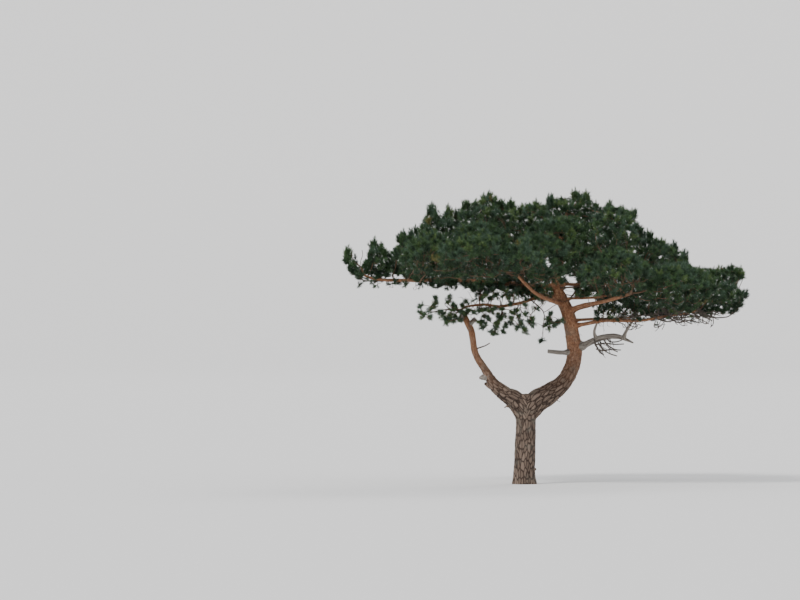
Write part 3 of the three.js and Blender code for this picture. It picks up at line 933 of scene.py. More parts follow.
# %% [markdown]
# ## Sky through the crown
# From where the camera stands, the sky shows through the crown in a few small gaps and in thin zones
# beside the leader. They are named on the upright plane through the foot, in metres to the right of it
# and up, and hold at every depth. Three lines across the picture give the outline: the solid crest, the
# base of the dense foliage, and how far the last shoots hang below that.

# %% Gaps and thin zones
sky_gaps = {
    "beside the leader": ((0.43, 3.97), (0.032, 0.05)),
    "high on the right": ((1.88, 4.49), (0.012, 0.03)),
    "right shoulder": ((2.46, 4.09), (0.02, 0.015)),
    "within the end hook": ((3.91, 3.58), (0.07, 0.055)),
    "between the left tufts": ((-2.96, 4.10), (0.03, 0.14)),
    "above the high bough": ((0.84, 3.68), (0.08, 0.03)),
    "below the high bough": ((0.81, 3.44), (0.075, 0.08)),
    "below the upper bough": ((1.03, 3.29), (0.18, 0.04)),
    "below the middle bough": ((1.05, 3.06), (0.17, 0.09)),
}
thin_zones = {
    "right of the leader": ((0.62, 1.85), (2.9, 3.72), 0.42),
    "above the low right boughs": ((1.25, 1.95), (2.9, 3.28), 0.3),
    "left of the leader": ((-1.0, 0.35), (2.9, 3.62), 0.5),
    "end of the right crest": ((3.45, 3.95), (3.58, 3.84), 0.8),
}
under_share = 0.6
crest_line = (
    (344, 255), (352, 260), (358, 268), (366, 262), (370, 248), (378, 245), (384, 246), (391, 253),
    (397, 248), (402, 234), (408, 239), (415, 236), (421, 226), (427, 215), (436, 211), (441, 219),
    (447, 211), (456, 212), (472, 210), (478, 203), (487, 199), (503, 202), (514, 205), (534, 208),
    (543, 206), (553, 200), (569, 204), (578, 195), (588, 198), (594, 206), (604, 209), (617, 211),
    (629, 213), (644, 231), (658, 241), (668, 246), (681, 253), (692, 269), (712, 272), (734, 268),
    (745, 278),
)
base_line = (
    (343, 256), (349, 268), (356, 273), (380, 275), (400, 276), (470, 278), (500, 278), (530, 272),
    (545, 256), (560, 256), (566, 272), (600, 277), (620, 282), (630, 300), (650, 310), (680, 313),
    (720, 312), (738, 305), (747, 297),
)
hanging_line = (
    (343, 261), (347, 268), (352, 275), (362, 283), (380, 285), (430, 288), (450, 289), (470, 293),
    (478, 300), (560, 300), (575, 302), (590, 313), (625, 321), (650, 319), (700, 316), (735, 313),
    (744, 306), (748, 298),
)


def height_of(spots):
    """A line across the picture, as heights to look up by how far right a point is."""
    x, _, z = from_picture(spots).T
    return lambda seen_x: np.interp(seen_x, x, z)


top_at, base_at, hanging_at = height_of(crest_line), height_of(base_line), height_of(hanging_line)


def in_gap(places, margin=0.0):
    """Which places the camera sees within a gap, or within a margin round it."""
    seen = seen_at(places)
    inside = np.zeros(len(seen), dtype=bool)
    for (x, z), (half_x, half_z) in sky_gaps.values():
        away = ((seen[:, 0] - x) / (half_x + margin)) ** 2 + ((seen[:, 1] - z) / (half_z + margin)) ** 2
        inside |= away < 1
    return inside


def kept_share(places):
    """The share of tips that a place keeps: less than 1 in a thin zone or under the dense foliage."""
    x, z = seen_at(places).T
    share = np.where(z < base_at(x), under_share, 1.0)
    for (left, right), (low, high), kept in thin_zones.values():
        within = (x > left) & (x < right) & (z > low) & (z < high)
        share[within] = kept
    share[z < hanging_at(x) + 0.04] = 0
    return share


# %% Thin the spots to tips
upper_spacing, side_spacing, under_spacing = 0.122, 0.130, 0.165
inner_spacing = 0.19
inner_share = 0.86
side_depth, top_depth = (0.03, 0.08), (0.06, 0.17)
small_mass = 0.22


def spaced(order, places, spacing, taken=None):
    """The places, in the order given, that keep their spacing from those taken before them."""
    cell = 0.3
    spacing = np.broadcast_to(spacing, len(places))
    grid = {} if taken is None else taken
    kept = []
    for i in order:
        x, y, z = places[i]
        home = (math.floor(x / cell), math.floor(y / cell), math.floor(z / cell))
        near = (
            other
            for a in (-1, 0, 1) for b in (-1, 0, 1) for c in (-1, 0, 1)
            for other in grid.get((home[0] + a, home[1] + b, home[2] + c), ())
        )
        room = spacing[i] ** 2
        if all((x - p) ** 2 + (y - q) ** 2 + (z - r) ** 2 >= room for p, q, r in near):
            grid.setdefault(home, []).append((x, y, z))
            kept.append(i)
    return np.array(kept, dtype=int)


def unevenness(places, size, seed):
    """Smooth noise, about 0 to 1, that changes over a length."""
    shift = Vector((seed * 7.3, seed * 3.1, seed * 1.7))
    return np.array([0.5 + 0.5 * noise.noise(Vector(place) / size + shift) for place in places])


lift = spot_facing[:, 2]
lumpy = unevenness(spot_places, 0.35, 1)
spacing = np.where(lift > 0.15, upper_spacing, side_spacing)
spacing = np.where(lift < -0.35, under_spacing, spacing) * (0.85 + 0.3 * lumpy)
on_top = np.clip(lift * 1.5, 0, 1)
least = side_depth[0] + (top_depth[0] - side_depth[0]) * on_top
most = side_depth[1] + (top_depth[1] - side_depth[1]) * on_top
depth = least + (most - least) * unevenness(spot_places, 0.3, 2)
half_size = np.array([np.ptp(solid[name].reshape(-1, 3), axis=0).min() / 2 for name in masses])
depth *= np.clip(half_size[spot_mass] / small_mass, 0.3, 1)
tips = spot_places - spot_facing * depth[:, None]
order = rng.permutation(len(tips))
outer = spaced(order, tips, spacing)
outer = outer[rng.random(len(outer)) < kept_share(tips[outer])]
outer = outer[~in_gap(tips[outer], 0.02)]

taken = {}
spaced(outer, tips, 0, taken)
inner_places, inner_mass = [], []
for number, name in enumerate(masses):
    if name in sparse_masses:
        continue
    surface, _ = spots_on(name)
    share = rng.random((len(surface), 1)) ** (1 / 3) * inner_share
    within = mass_middle[name] + (surface - mass_middle[name]) * share
    kept = spaced(range(len(within)), within, inner_spacing, taken)
    inner_places.append(within[kept])
    inner_mass.append(np.full(len(kept), number))
inner_places, inner_mass = np.vstack(inner_places), np.concatenate(inner_mass)
inner = rng.random(len(inner_places)) < kept_share(inner_places)
inner = np.flatnonzero(inner & ~in_gap(inner_places, 0.02))
inner_places, inner_mass = inner_places[inner], inner_mass[inner]
print(len(outer), "tips at the outside and", len(inner), "further in")

# %% [markdown]
# ## Candles along the crest
# The outline against the sky is set with upright brushes of needles. The tallest ones stand at places
# that the picture shows, each at the depth where the crown is highest there, with a lower one to either
# side. Below the crest line no sky shows, so a fan of rays from the camera looks for places where too few
# tips lie behind each other, and each of those gets a few more.

# %% The tallest brushes
crest_peaks = (
    (347, 246), (375, 238), (382, 243), (400, 231), (404, 229), (415, 224), (432, 203), (449, 204),
    (458, 208), (466, 199), (477, 200), (487, 191), (495, 197), (502, 200), (510, 199), (522, 203),
    (530, 202), (537, 200), (550, 192), (563, 195), (576, 188), (586, 190), (597, 201), (610, 201),
    (622, 204), (633, 208), (648, 228), (662, 238), (674, 241), (684, 250), (701, 266), (712, 266),
    (721, 265), (731, 264), (740, 265),
)
brush_height = 0.178
peak_reach, top_spots = 0.07, 4
companion_shift, companion_depth, companion_drop = 0.045, 0.16, (0.02, 0.08)
crest_places, crest_mass = [], []
spots_seen = seen_at(spot_places)
for spot in crest_peaks:
    x, _, z = from_picture([spot])[0]
    near = np.flatnonzero(np.abs(spots_seen[:, 0] - x) < peak_reach)
    top = near[np.argsort(spots_seen[near, 1])[-top_spots:]]
    place = from_picture([spot], spot_places[top, 1].mean())[0] - [0, 0, brush_height]
    crest_places.append(place)
    for side in (-1, 1):
        drop = rng.uniform(*companion_drop)
        shift = [side * companion_shift, rng.uniform(-companion_depth, companion_depth), -drop]
        crest_places.append(place + shift)
    crest_mass += [spot_mass[top[-1]]] * 3
crest_places = np.array(crest_places)
print(len(crest_places), "brushes along the crest")

# %% Fill what the sky would show through
fill_cell, least_layers = 0.055, 3
fill_low, fill_high, fill_jitter = 2.95, 5.3, 0.02
upper_crown, drops = 3.75, (0, 0.06, 0.12, 0.18, 0.24, 0.30, 0.36)
ray_step, thinnest, ray_lead, most_hits = 0.0002, 0.02, 4, 30
cover_across, cover_up, cover_lift = 0.075, 0.09, 0.05


def stretches_at(x, z):
    """Where the camera's ray to a point lies within masses: lists of (near y, far y, mass)."""
    ray = (Vector((x, 0, z)) - eye).normalized()
    start = eye + ray * (distance - ray_lead)
    hits = []
    while len(hits) < most_hits:
        spot, _, face, _ = crown_tree.ray_cast(start, ray)
        if spot is None:
            break
        hits.append((spot.y, mass_of_face[face]))
        start = spot + ray * ray_step
    pairs = [(hits[i][0], hits[i + 1][0], hits[i][1]) for i in range(0, len(hits) - 1, 2)]
    return [pair for pair in pairs if masses[pair[2]] not in sparse_masses and pair[1] - pair[0] > thinnest]


tips_seen = seen_at(np.vstack([tips[outer], inner_places, crest_places])) + [0, cover_lift]
fill_places, fill_mass = [], []
for x in np.arange(cad_box[0].x, cad_box[1].x, fill_cell):
    for z in np.arange(fill_low, fill_high, fill_cell):
        spot = np.array([x, z]) + rng.uniform(-fill_jitter, fill_jitter, 2)
        if spot[1] > top_at(spot[0]) - 0.02:
            continue
        lower = drops if spot[1] > upper_crown else drops[:1]
        stretches = next((found for drop in lower if (found := stretches_at(spot[0], spot[1] - drop))), None)
        at_depth = np.array([[spot[0], 0, spot[1]]])
        if not stretches or in_gap(at_depth, 0.04)[0] or rng.random() > kept_share(at_depth)[0]:
            continue
        away = (tips_seen - spot) / [cover_across, cover_up]
        layers = ((away ** 2).sum(axis=1) < 1).sum()
        for _ in range(least_layers - layers):
            near, far, mass = stretches[rng.integers(len(stretches))]
            margin = min(0.08, (far - near) * 0.3)
            y = rng.uniform(near + margin, far - margin)
            farness = (y + distance) / distance
            aim = spot - [0, cover_lift] + rng.uniform(-fill_jitter, fill_jitter, 2)
            fill_places.append([eye.x + (aim[0] - eye.x) * farness, y, eye.z + (aim[1] - eye.z) * farness])
            fill_mass.append(mass)
            tips_seen = np.vstack([tips_seen, spot])
fill_places, fill_mass = np.array(fill_places), np.array(fill_mass)
print(len(fill_places), "tips fill in where sky would show through")

# %% [markdown]
# ## Sparse sprays under the crown
# Under the dense crown hang open sprays, most of them on the low bough to the left, where the picture
# shows each tuft against the sky. Those are set one by one, each at a few depths, and so are the lone
# tufts at the crown's left end and under it, at one depth. The other small tufts are dealt out within the
# sparse mass on the right, along the boughs and in a few named rooms, which are boxes given by their left
# and right, near and far, low and high sides.

# %% Tufts of the low left sprays
low_tufts = (
    (420, 306), (421, 312), (423, 316), (429, 317), (430, 309), (435, 299), (436, 304), (433, 306),
    (440, 311), (445, 317), (448, 301), (450, 297), (453, 304), (452, 310), (450, 315), (447, 322),
    (453, 321), (456, 316), (459, 319), (460, 312), (466, 302), (468, 310), (474, 312), (479, 308),
    (481, 300), (484, 295), (491, 299), (496, 293), (481, 321), (482, 327), (486, 324), (484, 315),
    (492, 331), (495, 334), (496, 327), (498, 321), (503, 331), (506, 325), (510, 322), (503, 315),
    (501, 309), (510, 317), (516, 311), (521, 322), (522, 326), (525, 330), (529, 321), (532, 324),
    (531, 318), (525, 314), (536, 308), (547, 318), (550, 321), (555, 323), (549, 314), (542, 339),
    (553, 325), (557, 322), (512, 303), (524, 304), (540, 300), (548, 290), (551, 294), (547, 297),
    (443, 314), (449, 319), (456, 308), (462, 306), (560, 320), (518, 317), (513, 313), (489, 318),
    (505, 292), (511, 294), (508, 297), (515, 291), (464, 314), (461, 319), (499, 315), (501, 319),
    (578, 293), (581, 296), (583, 291), (587, 294), (586, 297), (545, 325), (549, 326), (497, 324),
    (519, 327), (486, 309), (490, 310), (493, 308), (481, 310), (541, 291), (545, 292),
)
lone_tufts = (
    (356, 258), (357, 264), (363, 258), (363, 264), (359, 268), (357, 275), (362, 277), (367, 277),
    (371, 277), (388, 285), (392, 287), (406, 285), (411, 286), (432, 287), (438, 288), (452, 286),
    (457, 288), (461, 286), (376, 282), (398, 284), (420, 286),
)
low_depth, low_jitter, low_drop = (-0.5, 0.1), 0.03, 0.02
tufts_per_spot = 5
spread_out = np.tile(from_picture(low_tufts), (tufts_per_spot, 1))
depths = rng.uniform(*low_depth, len(spread_out))
low_places = spread_out + rng.uniform(-low_jitter, low_jitter, spread_out.shape)
low_places += np.column_stack([np.zeros_like(depths), depths, np.full_like(depths, -low_drop)])
low_places = low_places[~in_gap(low_places, 0.03)]

# %% Other sprays, spurs and bare twigs
sparse_mass_name, sparse_spacing, sparse_share = "mass_right_sprays", 0.15, 0.97
surface, _ = spots_on(sparse_mass_name)
share = rng.random((len(surface), 1)) ** (1 / 3)
within = mass_middle[sparse_mass_name] + (surface - mass_middle[sparse_mass_name]) * share * sparse_share
sparse_places = within[spaced(range(len(within)), within, sparse_spacing)]

# For each bough: how many spurs, from how far along, how far aside, and how low and high beside it
spurs_on = {
    "bough_left_long": (70, 0.9, 0.22, -0.10, 0.12),
    "bough_right_low": (44, 0.45, 0.22, -0.03, 0.26),
    "bough_right_back": (20, 0.5, 0.2, -0.03, 0.2),
}
tuft_rooms = {
    "between the low left bough and the crown": ((-0.90, 0.25), (-0.45, 0.25), (3.30, 3.54), 0.14),
    "by the end of the long bough": ((-2.95, -2.40), (-0.20, 0.20), (3.68, 3.80), 0.15),
    "above the low right boughs": ((1.30, 2.00), (-0.50, 0.30), (3.04, 3.34), 0.17),
    "between the boughs to the right": ((0.95, 1.60), (-0.30, 0.30), (3.44, 3.60), 0.17),
}
end_tufts, end_room = 7, 0.2
tries, spur_spacing, bare_spacing = 400, 0.095, 0.25
spur_places, spur_low = list(from_picture(lone_tufts, 0.04)), []
for name, (count, bare_length, aside, lowest, highest) in spurs_on.items():
    line = runs[name][0]
    lengths = lengths_along(line)
    for row in rng.choice(np.flatnonzero(lengths > bare_length), count):
        shift = [rng.uniform(-0.08, 0.08), rng.uniform(-aside, aside), rng.uniform(lowest, highest)]
        spur_places.append(line[row] + shift)
for title, (*sides, apart) in tuft_rooms.items():
    low, high = np.array(sides).T
    some = rng.uniform(low, high, (tries, 3))
    some = some[spaced(range(len(some)), some, apart)]
    spur_low += range(len(spur_places), len(spur_places) + len(some)) if "left bough" in title else []
    spur_places += list(some)
for name in boughs:
    if name != "bough_left_low":
        end = runs[name][0][-1]
        spur_places += [end + rng.uniform(-end_room, end_room, 3) for _ in range(end_tufts)]
spur_places = np.array(spur_places)
clear_spurs = spaced(range(len(spur_places)), spur_places, spur_spacing)
clear_spurs = clear_spurs[~in_gap(spur_places[clear_spurs], 0.03)]
is_low = np.isin(clear_spurs, spur_low)
low_places = np.vstack([low_places, spur_places[clear_spurs[is_low]]])
spur_places = spur_places[clear_spurs[~is_low]]


def nearest_mass(places):
    return np.array([mass_of_face[crown_tree.find_nearest(Vector(place))[2]] for place in places])


beneath = np.flatnonzero((lift < -0.25) & (rng.random(len(lift)) < 0.5))
bare_places = spot_places + spot_facing * rng.uniform(-0.06, 0.05, len(lift))[:, None]
bare = spaced(beneath, bare_places, bare_spacing)
bare = bare[~in_gap(bare_places[bare], 0.02)]
print(len(low_places), "low tufts and", len(sparse_places) + len(spur_places), "others")
print(len(bare), "bare twigs")

# %% All tips in one table
tip_groups = {
    "outer": (tips[outer], spot_mass[outer]),
    "inner": (inner_places, inner_mass),
    "crest": (crest_places, crest_mass),
    "fill": (fill_places, fill_mass),
    "sparse": (sparse_places, nearest_mass(sparse_places)),
    "spur": (spur_places, nearest_mass(spur_places)),
    "low": (low_places, nearest_mass(low_places)),
    "bare": (bare_places[bare], spot_mass[bare]),
}
tip_kinds = list(tip_groups)
tip_places = np.vstack([places for places, _ in tip_groups.values()])
tip_mass = np.concatenate([numbers for _, numbers in tip_groups.values()])
tip_kind = np.repeat(range(len(tip_groups)), [len(places) for places, _ in tip_groups.values()])
up = np.array([0.0, 0.0, 1.0])
tip_facing = np.tile(up, (len(tip_places), 1))
tip_facing[tip_kind == tip_kinds.index("outer")] = spot_facing[outer]
tip_facing[tip_kind == tip_kinds.index("bare")] = spot_facing[bare]
tip_low = tip_kind == tip_kinds.index("low")
print(len(tip_places), "tips in all,", tip_low.sum(), "of them on the low left bough and the left limb")

# %% [markdown]
# ## Twigs that grow to the tips
# Space colonisation grows a branching system the way that a crown fills its room. Every tip pulls on
# the nearest bit of wood. In each round, wood that is pulled grows one short step that way, and a tip
# that is reached stops pulling. Boughs, branches and twigs come out of the one rule, and all of them
# grow on from the limbs in the frame.

# %% Wood to start from
grow_step = 0.055
crook, crook_size = 1.3, 0.14
bend_apart = 3.7, 41.3, 87.9
hold, waver, rise = 0.35, 0.12, 0.05
reached, most_rounds, places_at_once = 0.075, 150, 800
start_spacing, start_reach, lowest_start = 0.06, 0.16, 2.7
bare_rows = 5
rows_between = {
    "bough_left_low": 3, "bough_left_long": 4, "bough_right_low": 5, "bough_right_back": 5,
    "bough_right_high": 4,
}
spray_branches = {
    "left_spray": (((465, 314), (459, 310.5), (451, 309.5), (443, 309.8), (435, 311.5), (427, 314)),
                   -0.12, (0.032, 0.019, 0.014, 0.011, 0.008, 0.006)),
    "hanging_spray": (((501, 306), (503, 314), (499, 322), (496, 331)), -0.24, (0.012, 0.010, 0.007, 0.004)),
    "spray_by_leader": (((531, 300), (537, 305), (543.6, 311), (544.6, 317), (543, 326), (543, 337)),
                        -0.25, (0.013, 0.011, 0.010, 0.008, 0.006, 0.004)),
}
for title, (spots, depth, girths) in spray_branches.items():
    line, radii = evenly(from_picture(spots, depth), np.array(girths), run_spacing)
    runs[title] = eased(line, 3), radii


def starts_on(names):
    """Places on limbs from which wood can grow, with the girth there and whether the limb ends there."""
    found = []
    for name in names:
        line, radii = evenly(*runs[name], start_spacing)
        for row, place in enumerate(line):
            last = row == len(line) - 1
            if name in rows_between:
                grows = row > bare_rows and row % rows_between[name] == 0
            else:
                grows = crown_tree.find_nearest(Vector(place), start_reach)[0] is not None
            if place[2] > lowest_start and (grows or last):
                found.append((place, radii[row], last))
    return found


# %% Grow
def unit(vectors):
    return vectors / np.maximum(np.linalg.norm(vectors, axis=-1, keepdims=True), 1e-9)


def bend_at(spot):
    """A smooth push in any direction: three plain noises, the same in every run, read far apart."""
    return np.array([noise.noise(spot + Vector((apart, -apart, 2 * apart))) for apart in bend_apart])


def grown(starts, goals, seed):
    """Places, the place before each, and the place that each goal is joined to."""
    chance = np.random.default_rng(seed)
    places = [np.array(place) for place in starts]
    before = [-1] * len(starts)
    reached_by = np.full(len(goals), -1)
    nearest = np.zeros(len(goals), dtype=int)
    nearest_gap = np.full(len(goals), np.inf)

    def look_at(first):
        fresh = np.array(places[first:])
        for start in range(0, len(fresh), places_at_once):
            gaps = np.linalg.norm(goals[:, None] - fresh[None, start:start + places_at_once], axis=2)
            best = gaps.argmin(axis=1)
            gap = gaps[np.arange(len(goals)), best]
            closer = gap < nearest_gap
            nearest[closer] = first + start + best[closer]
            nearest_gap[closer] = gap[closer]

    look_at(0)
    for _ in range(most_rounds):
        waiting = reached_by < 0
        near_enough = waiting & (nearest_gap < reached)
        for goal in np.flatnonzero(near_enough):
            reached_by[goal] = len(places)
            places.append(goals[goal])
            before.append(int(nearest[goal]))
        waiting &= ~near_enough
        if not waiting.any():
            break
        pulled = np.unique(nearest[waiting])
        pulls = np.zeros((len(places), 3))
        np.add.at(pulls, nearest[waiting], unit(goals[waiting] - np.array(places)[nearest[waiting]]))
        first = len(places)
        for source in pulled:
            way = unit(pulls[source])
            if before[source] >= 0:
                way = way + hold * unit(places[source] - places[before[source]])
            bend = bend_at(Vector(places[source]) / crook_size)
            way = way + crook * bend + chance.normal(0, waver, 3) + rise * up
            fresh = places[source] + grow_step * unit(way)
            if in_gap(fresh[None])[0]:
                fresh[1] += grow_step
            places.append(fresh)
            before.append(int(source))
        look_at(first)
    for goal in np.flatnonzero(reached_by < 0):
        source = int(nearest[goal])
        steps = max(1, round(float(nearest_gap[goal]) / grow_step))
        start = places[source]
        for step in range(1, steps + 1):
            places.append(start + (goals[goal] - start) * step / steps)
            before.append(source)
            source = len(places) - 1
        reached_by[goal] = source
    return np.array(places), np.array(before), reached_by


low_carriers = ["left_limb", "bough_left_low", *spray_branches]
crown_carriers = ["leader", *(name for name in boughs if name not in low_carriers)]
wood, before, start_girths, start_ends = [], [], [], []
tip_wood = np.zeros(len(tip_places), dtype=int)
for carriers, chosen, seed in ((crown_carriers, ~tip_low, 4), (low_carriers, tip_low, 5)):
    starts = starts_on(carriers)
    places, sources, reached_by = grown([start[0] for start in starts], tip_places[chosen], seed)
    first, fresh = len(wood), len(places) - len(starts)
    wood += list(places)
    before += [source + first if source >= 0 else -1 for source in sources]
    tip_wood[chosen] = reached_by + first
    start_girths += [start[1] for start in starts] + [0] * fresh
    start_ends += [start[2] for start in starts] + [False] * fresh
    print(len(starts), "places to grow from and", fresh, "steps of wood")
low_first = first
wood, before = np.array(wood), np.array(before)
start_girths, start_ends = np.array(start_girths), np.array(start_ends)
is_start = before < 0

# %% Prune, smooth and size the twigs
tip_radius, low_tip_radius = 0.0028, 0.004
pipe_power = 2.5
carrier_share = 0.72
smoothing_passes = 3
used = np.zeros(len(wood), dtype=bool)
load = np.zeros(len(wood))
np.add.at(load, tip_wood, np.where(tip_low, low_tip_radius, tip_radius) ** pipe_power)
used[tip_wood] = True
for here in range(len(wood) - 1, -1, -1):
    if used[here] and before[here] >= 0:
        used[before[here]] = True
        load[before[here]] += load[here]
girths = load ** (1 / pipe_power)
grown_wood = np.flatnonzero(used & ~is_start)
children = [[] for _ in wood]
for here in grown_wood:
    children[before[here]].append(here)
is_tip = np.zeros(len(wood), dtype=bool)
is_tip[tip_wood] = True
for _ in range(smoothing_passes):
    eased_wood = wood.copy()
    for here in grown_wood:
        if not is_tip[here] and children[here]:
            onward = max(children[here], key=lambda child: load[child])
            eased_wood[here] = (wood[before[here]] + 2 * wood[here] + wood[onward]) / 4
    wood = eased_wood
for here in grown_wood:
    source = before[here]
    limit = start_girths[source] * carrier_share if is_start[source] else girths[source]
    girths[here] = min(girths[here], limit)
print(len(grown_wood), "steps kept, the thickest", round(girths[grown_wood].max() * 1000), "mm")

# %% Follow each branch to its end
def chains_of():
    """Branches as lists of places, each from where it leaves the wood that carries it."""
    found = []
    waiting = [(source, child) for source in np.flatnonzero(is_start) for child in children[source]]
    while waiting:
        source, here = waiting.pop()
        chain = [source, here]
        while children[here]:
            onward = max(children[here], key=lambda child: load[child])
            waiting += [(here, child) for child in children[here] if child != onward]
            here = onward
            chain.append(here)
        found.append(chain)
    return found


chains = chains_of()
print(len(chains), "branches and twigs")

# %% [markdown]
# ## Fine twigs that hang free
# Under the crown a pine keeps fine bare twigs that bend this way and that. Each is a walk of short steps
# that holds to a heading while smooth noise turns it, with a few shorter ones leaving it. Those that can
# be told apart in the picture are laid along their own lines.

# %% Walks of fine twigs
fine_step, bend_size = 0.025, 0.13
own_way, back_to_heading, turned_back = 0.7, 0.3, 0.4
twig_end, side_foot, side_end, side_lean = 0.5, 0.65, 0.4, 0.9


def wander(start, heading, length, sway, chance, heights):
    """A fine twig that bends as it goes, but keeps to its heading and between two heights."""
    heading = unit(np.array(heading, float))
    places, way = [np.array(start, float)], heading
    shift = Vector(chance.uniform(-9, 9, 3))
    for _ in range(max(3, round(length / fine_step))):
        bend = bend_at(Vector(places[-1]) / bend_size + shift)
        turn = turned_back * (int(places[-1][2] < heights[0]) - int(places[-1][2] > heights[1]))
        way = unit(own_way * way + back_to_heading * heading + sway * bend + turn * up)
        places.append(places[-1] + fine_step * way)
    return np.array(places)


def with_side_twigs(line, radius, count, length, sway, chance, heights):
    """A twig and the shorter ones that leave it, each with its radii."""
    made = [(line, np.linspace(radius, radius * twig_end, len(line)))]
    for _ in range(count):
        row = chance.integers(1, len(line) - 1)
        heading = unit(line[row + 1] - line[row]) + side_lean * unit(chance.normal(0, 1, 3))
        side = wander(line[row], heading, length * chance.uniform(0.5, 1), sway, chance, heights)
        made.append((side, np.linspace(radius * side_foot, radius * side_end, len(side))))
    return made


# %% Let them grow
dead_bark, live_bark = 2, 0
walk_seed = 11
usual_walk = dict(between=(-9, 9), above=2.2, spread=0.5, sway=1.0, sides=2, bark=live_bark, tufts=0)
walks = {
    "under the right side": dict(
        starts=((1.9, 3.45), (-0.7, 0.6), (2.95, 3.3)), count=46, heading=(1, 0, -0.1), spread=0.3,
        lengths=(0.3, 0.75), radius=0.0110, heights=(2.90, 3.08), bark=dead_bark, tufts=0.08),
    "off the low right bough": dict(
        starts="bough_right_low", between=(1.6, 2.9), count=14, heading=(1, 0, -0.1), spread=0.35,
        lengths=(0.3, 0.7), radius=0.0110, heights=(2.86, 3.06), bark=dead_bark, tufts=0.05),
    "below the low right bough": dict(
        starts="bough_right_low", between=(1.25, 1.9), count=9, heading=(0.4, 0, -0.7),
        lengths=(0.1, 0.24), sway=1.1, radius=0.0048, heights=(2.74, 3.0), sides=1, bark=dead_bark),
    "above the low right boughs": dict(
        starts="bough_right_low", between=(1.3, 2.1), count=26, heading=(0.5, 0, 0.8),
        lengths=(0.15, 0.4), radius=0.006, heights=(2.95, 3.30), tufts=0.15),
    "right of the leader, high": dict(
        starts="bough_right_high", between=(0.9, 1.4), count=24, heading=(0.8, 0, 0.1),
        lengths=(0.15, 0.45), radius=0.006, heights=(3.38, 3.80), tufts=0.15),
    "below the long left bough": dict(
        starts="bough_left_long", between=(-2.7, -0.4), count=22, heading=(-0.7, 0, -0.35), spread=0.6,
        lengths=(0.15, 0.42), radius=0.0055, heights=(3.52, 3.68), sides=1, tufts=0.3),
    "round the low left bough": dict(
        starts="bough_left_low", between=(-1.0, 0.4), count=26, heading=(-0.5, 0, -0.2), spread=0.9,
        lengths=(0.2, 0.5), sway=1.1, radius=0.0052, heights=(2.80, 3.45), tufts=0.1),
    "under the dead bough": dict(
        starts="dead_bough", between=(1.2, 1.52), count=8, heading=(0.8, -0.1, -0.7), spread=0.35,
        lengths=(0.2, 0.4), sway=0.6, radius=0.0080, heights=(2.24, 2.62), bark=dead_bark),
    "right of the leader, low": dict(
        starts="leader", between=(0.84, 0.93), above=2.55, count=7, heading=(1, -0.3, 0.1),
        lengths=(0.12, 0.32), radius=0.0040, heights=(2.5, 2.8), sides=1, bark=dead_bark),
}
rightmost, start_room, side_length = 3.80, 1.6, 0.45


def walk_starts(starts, between, above, **_):
    """Places on a limb, or the ends of bare twigs within a room, from which walks may start."""
    if isinstance(starts, str):
        places = runs[starts][0]
        return places[(places[:, 0] > between[0]) & (places[:, 0] < between[1])
                      & (places[:, 2] > above) & (places[:, 2] < above + start_room)]
    low, high = np.array(starts).T
    hanging = wood[tip_wood[tip_kind == tip_kinds.index("bare")]]
    return hanging[((hanging > low) & (hanging < high)).all(axis=1)]


loose_twigs, loose_tufts = [], []
chance = np.random.default_rng(walk_seed)
for title, own_walk in walks.items():
    walk = {**usual_walk, **own_walk}
    starts = walk_starts(**walk)
    for _ in range(walk["count"]):
        start = starts[chance.integers(len(starts))]
        heading = np.array(walk["heading"]) + chance.normal(0, walk["spread"], 3)
        length = chance.uniform(*walk["lengths"])
        line = wander(start, heading, length, walk["sway"], chance, walk["heights"])
        for side, radii in with_side_twigs(
            line, walk["radius"], walk["sides"], length * side_length, walk["sway"], chance, walk["heights"],
        ):
            if in_gap(side, 0.01).any() or side[:, 0].max() > rightmost:
                continue
            loose_twigs.append((side, radii, walk["bark"]))
            if chance.random() < walk["tufts"]:
                loose_tufts.append((side[-1], unit(side[-1] - side[-3])))
    print(title, len(starts), "places to start from")
print(len(loose_twigs), "fine twigs and", len(loose_tufts), "tufts on them")

# %% Twigs with lines of their own
drawn_twigs = {
    "down from the high bough":
        (((580, 285.5), (575.5, 291.5), (570.5, 298)), -0.15, 0.018, 0.015, False),
    "under the high bough":
        (((560, 288), (569, 287.4), (578, 286.6), (592, 284)), -0.20, 0.017, 0.012, False),
    "inside the left limb":
        (((474, 350), (480, 347.4), (485, 346), (490, 343)), -0.14, 0.015, 0.009, False),
    "between the left tufts":
        (((356, 274), (360, 268), (360.5, 261), (363, 255), (362, 250)), 0, 0.008, 0.005, True),
    "off the left tip": (((355, 272), (360, 279), (366, 281), (376, 281)), 0.02, 0.012, 0.009, True),
    "under the right end":
        (((676, 313), (690, 315), (704, 321), (709, 324)), -0.3, 0.011, 0.008, False),
    "below the left limb's top":
        (((503, 307), (501, 316), (497, 322), (495, 328)), -0.2, 0.015, 0.009, True),
    "over the end hook":
        (((728, 268), (736, 266), (742, 271), (743, 279), (739, 288)), 0, 0.008, 0.006, True),
}
dead_fan = (
    ((594, 339), (597, 348), (600, 353), (604, 355)), ((595, 345), (604, 343), (615, 344.5), (624, 344)),
    ((598, 343), (602, 349), (610, 354), (617, 356)), ((604, 340), (608, 346), (616, 350), (621, 350)),
    ((596, 349), (604, 351), (611, 349), (618, 352)), ((607, 338), (609, 342), (617, 342), (622, 340)),
)
right_tangle = (
    ((655, 318), (667, 322), (680, 319), (692, 324)), ((676, 318), (690, 317), (704, 316), (716, 318)),
    ((704, 314), (716, 318), (728, 317), (736, 311)), ((664, 315), (678, 323), (690, 320), (700, 323)),
)
for title, lines, depth in (("dead fan", dead_fan, -0.1), ("dead tangle", right_tangle, -0.3)):
    for number, spots in enumerate(lines):
        drawn_twigs[f"{title} {number}"] = (spots, depth, 0.014, 0.010, False)
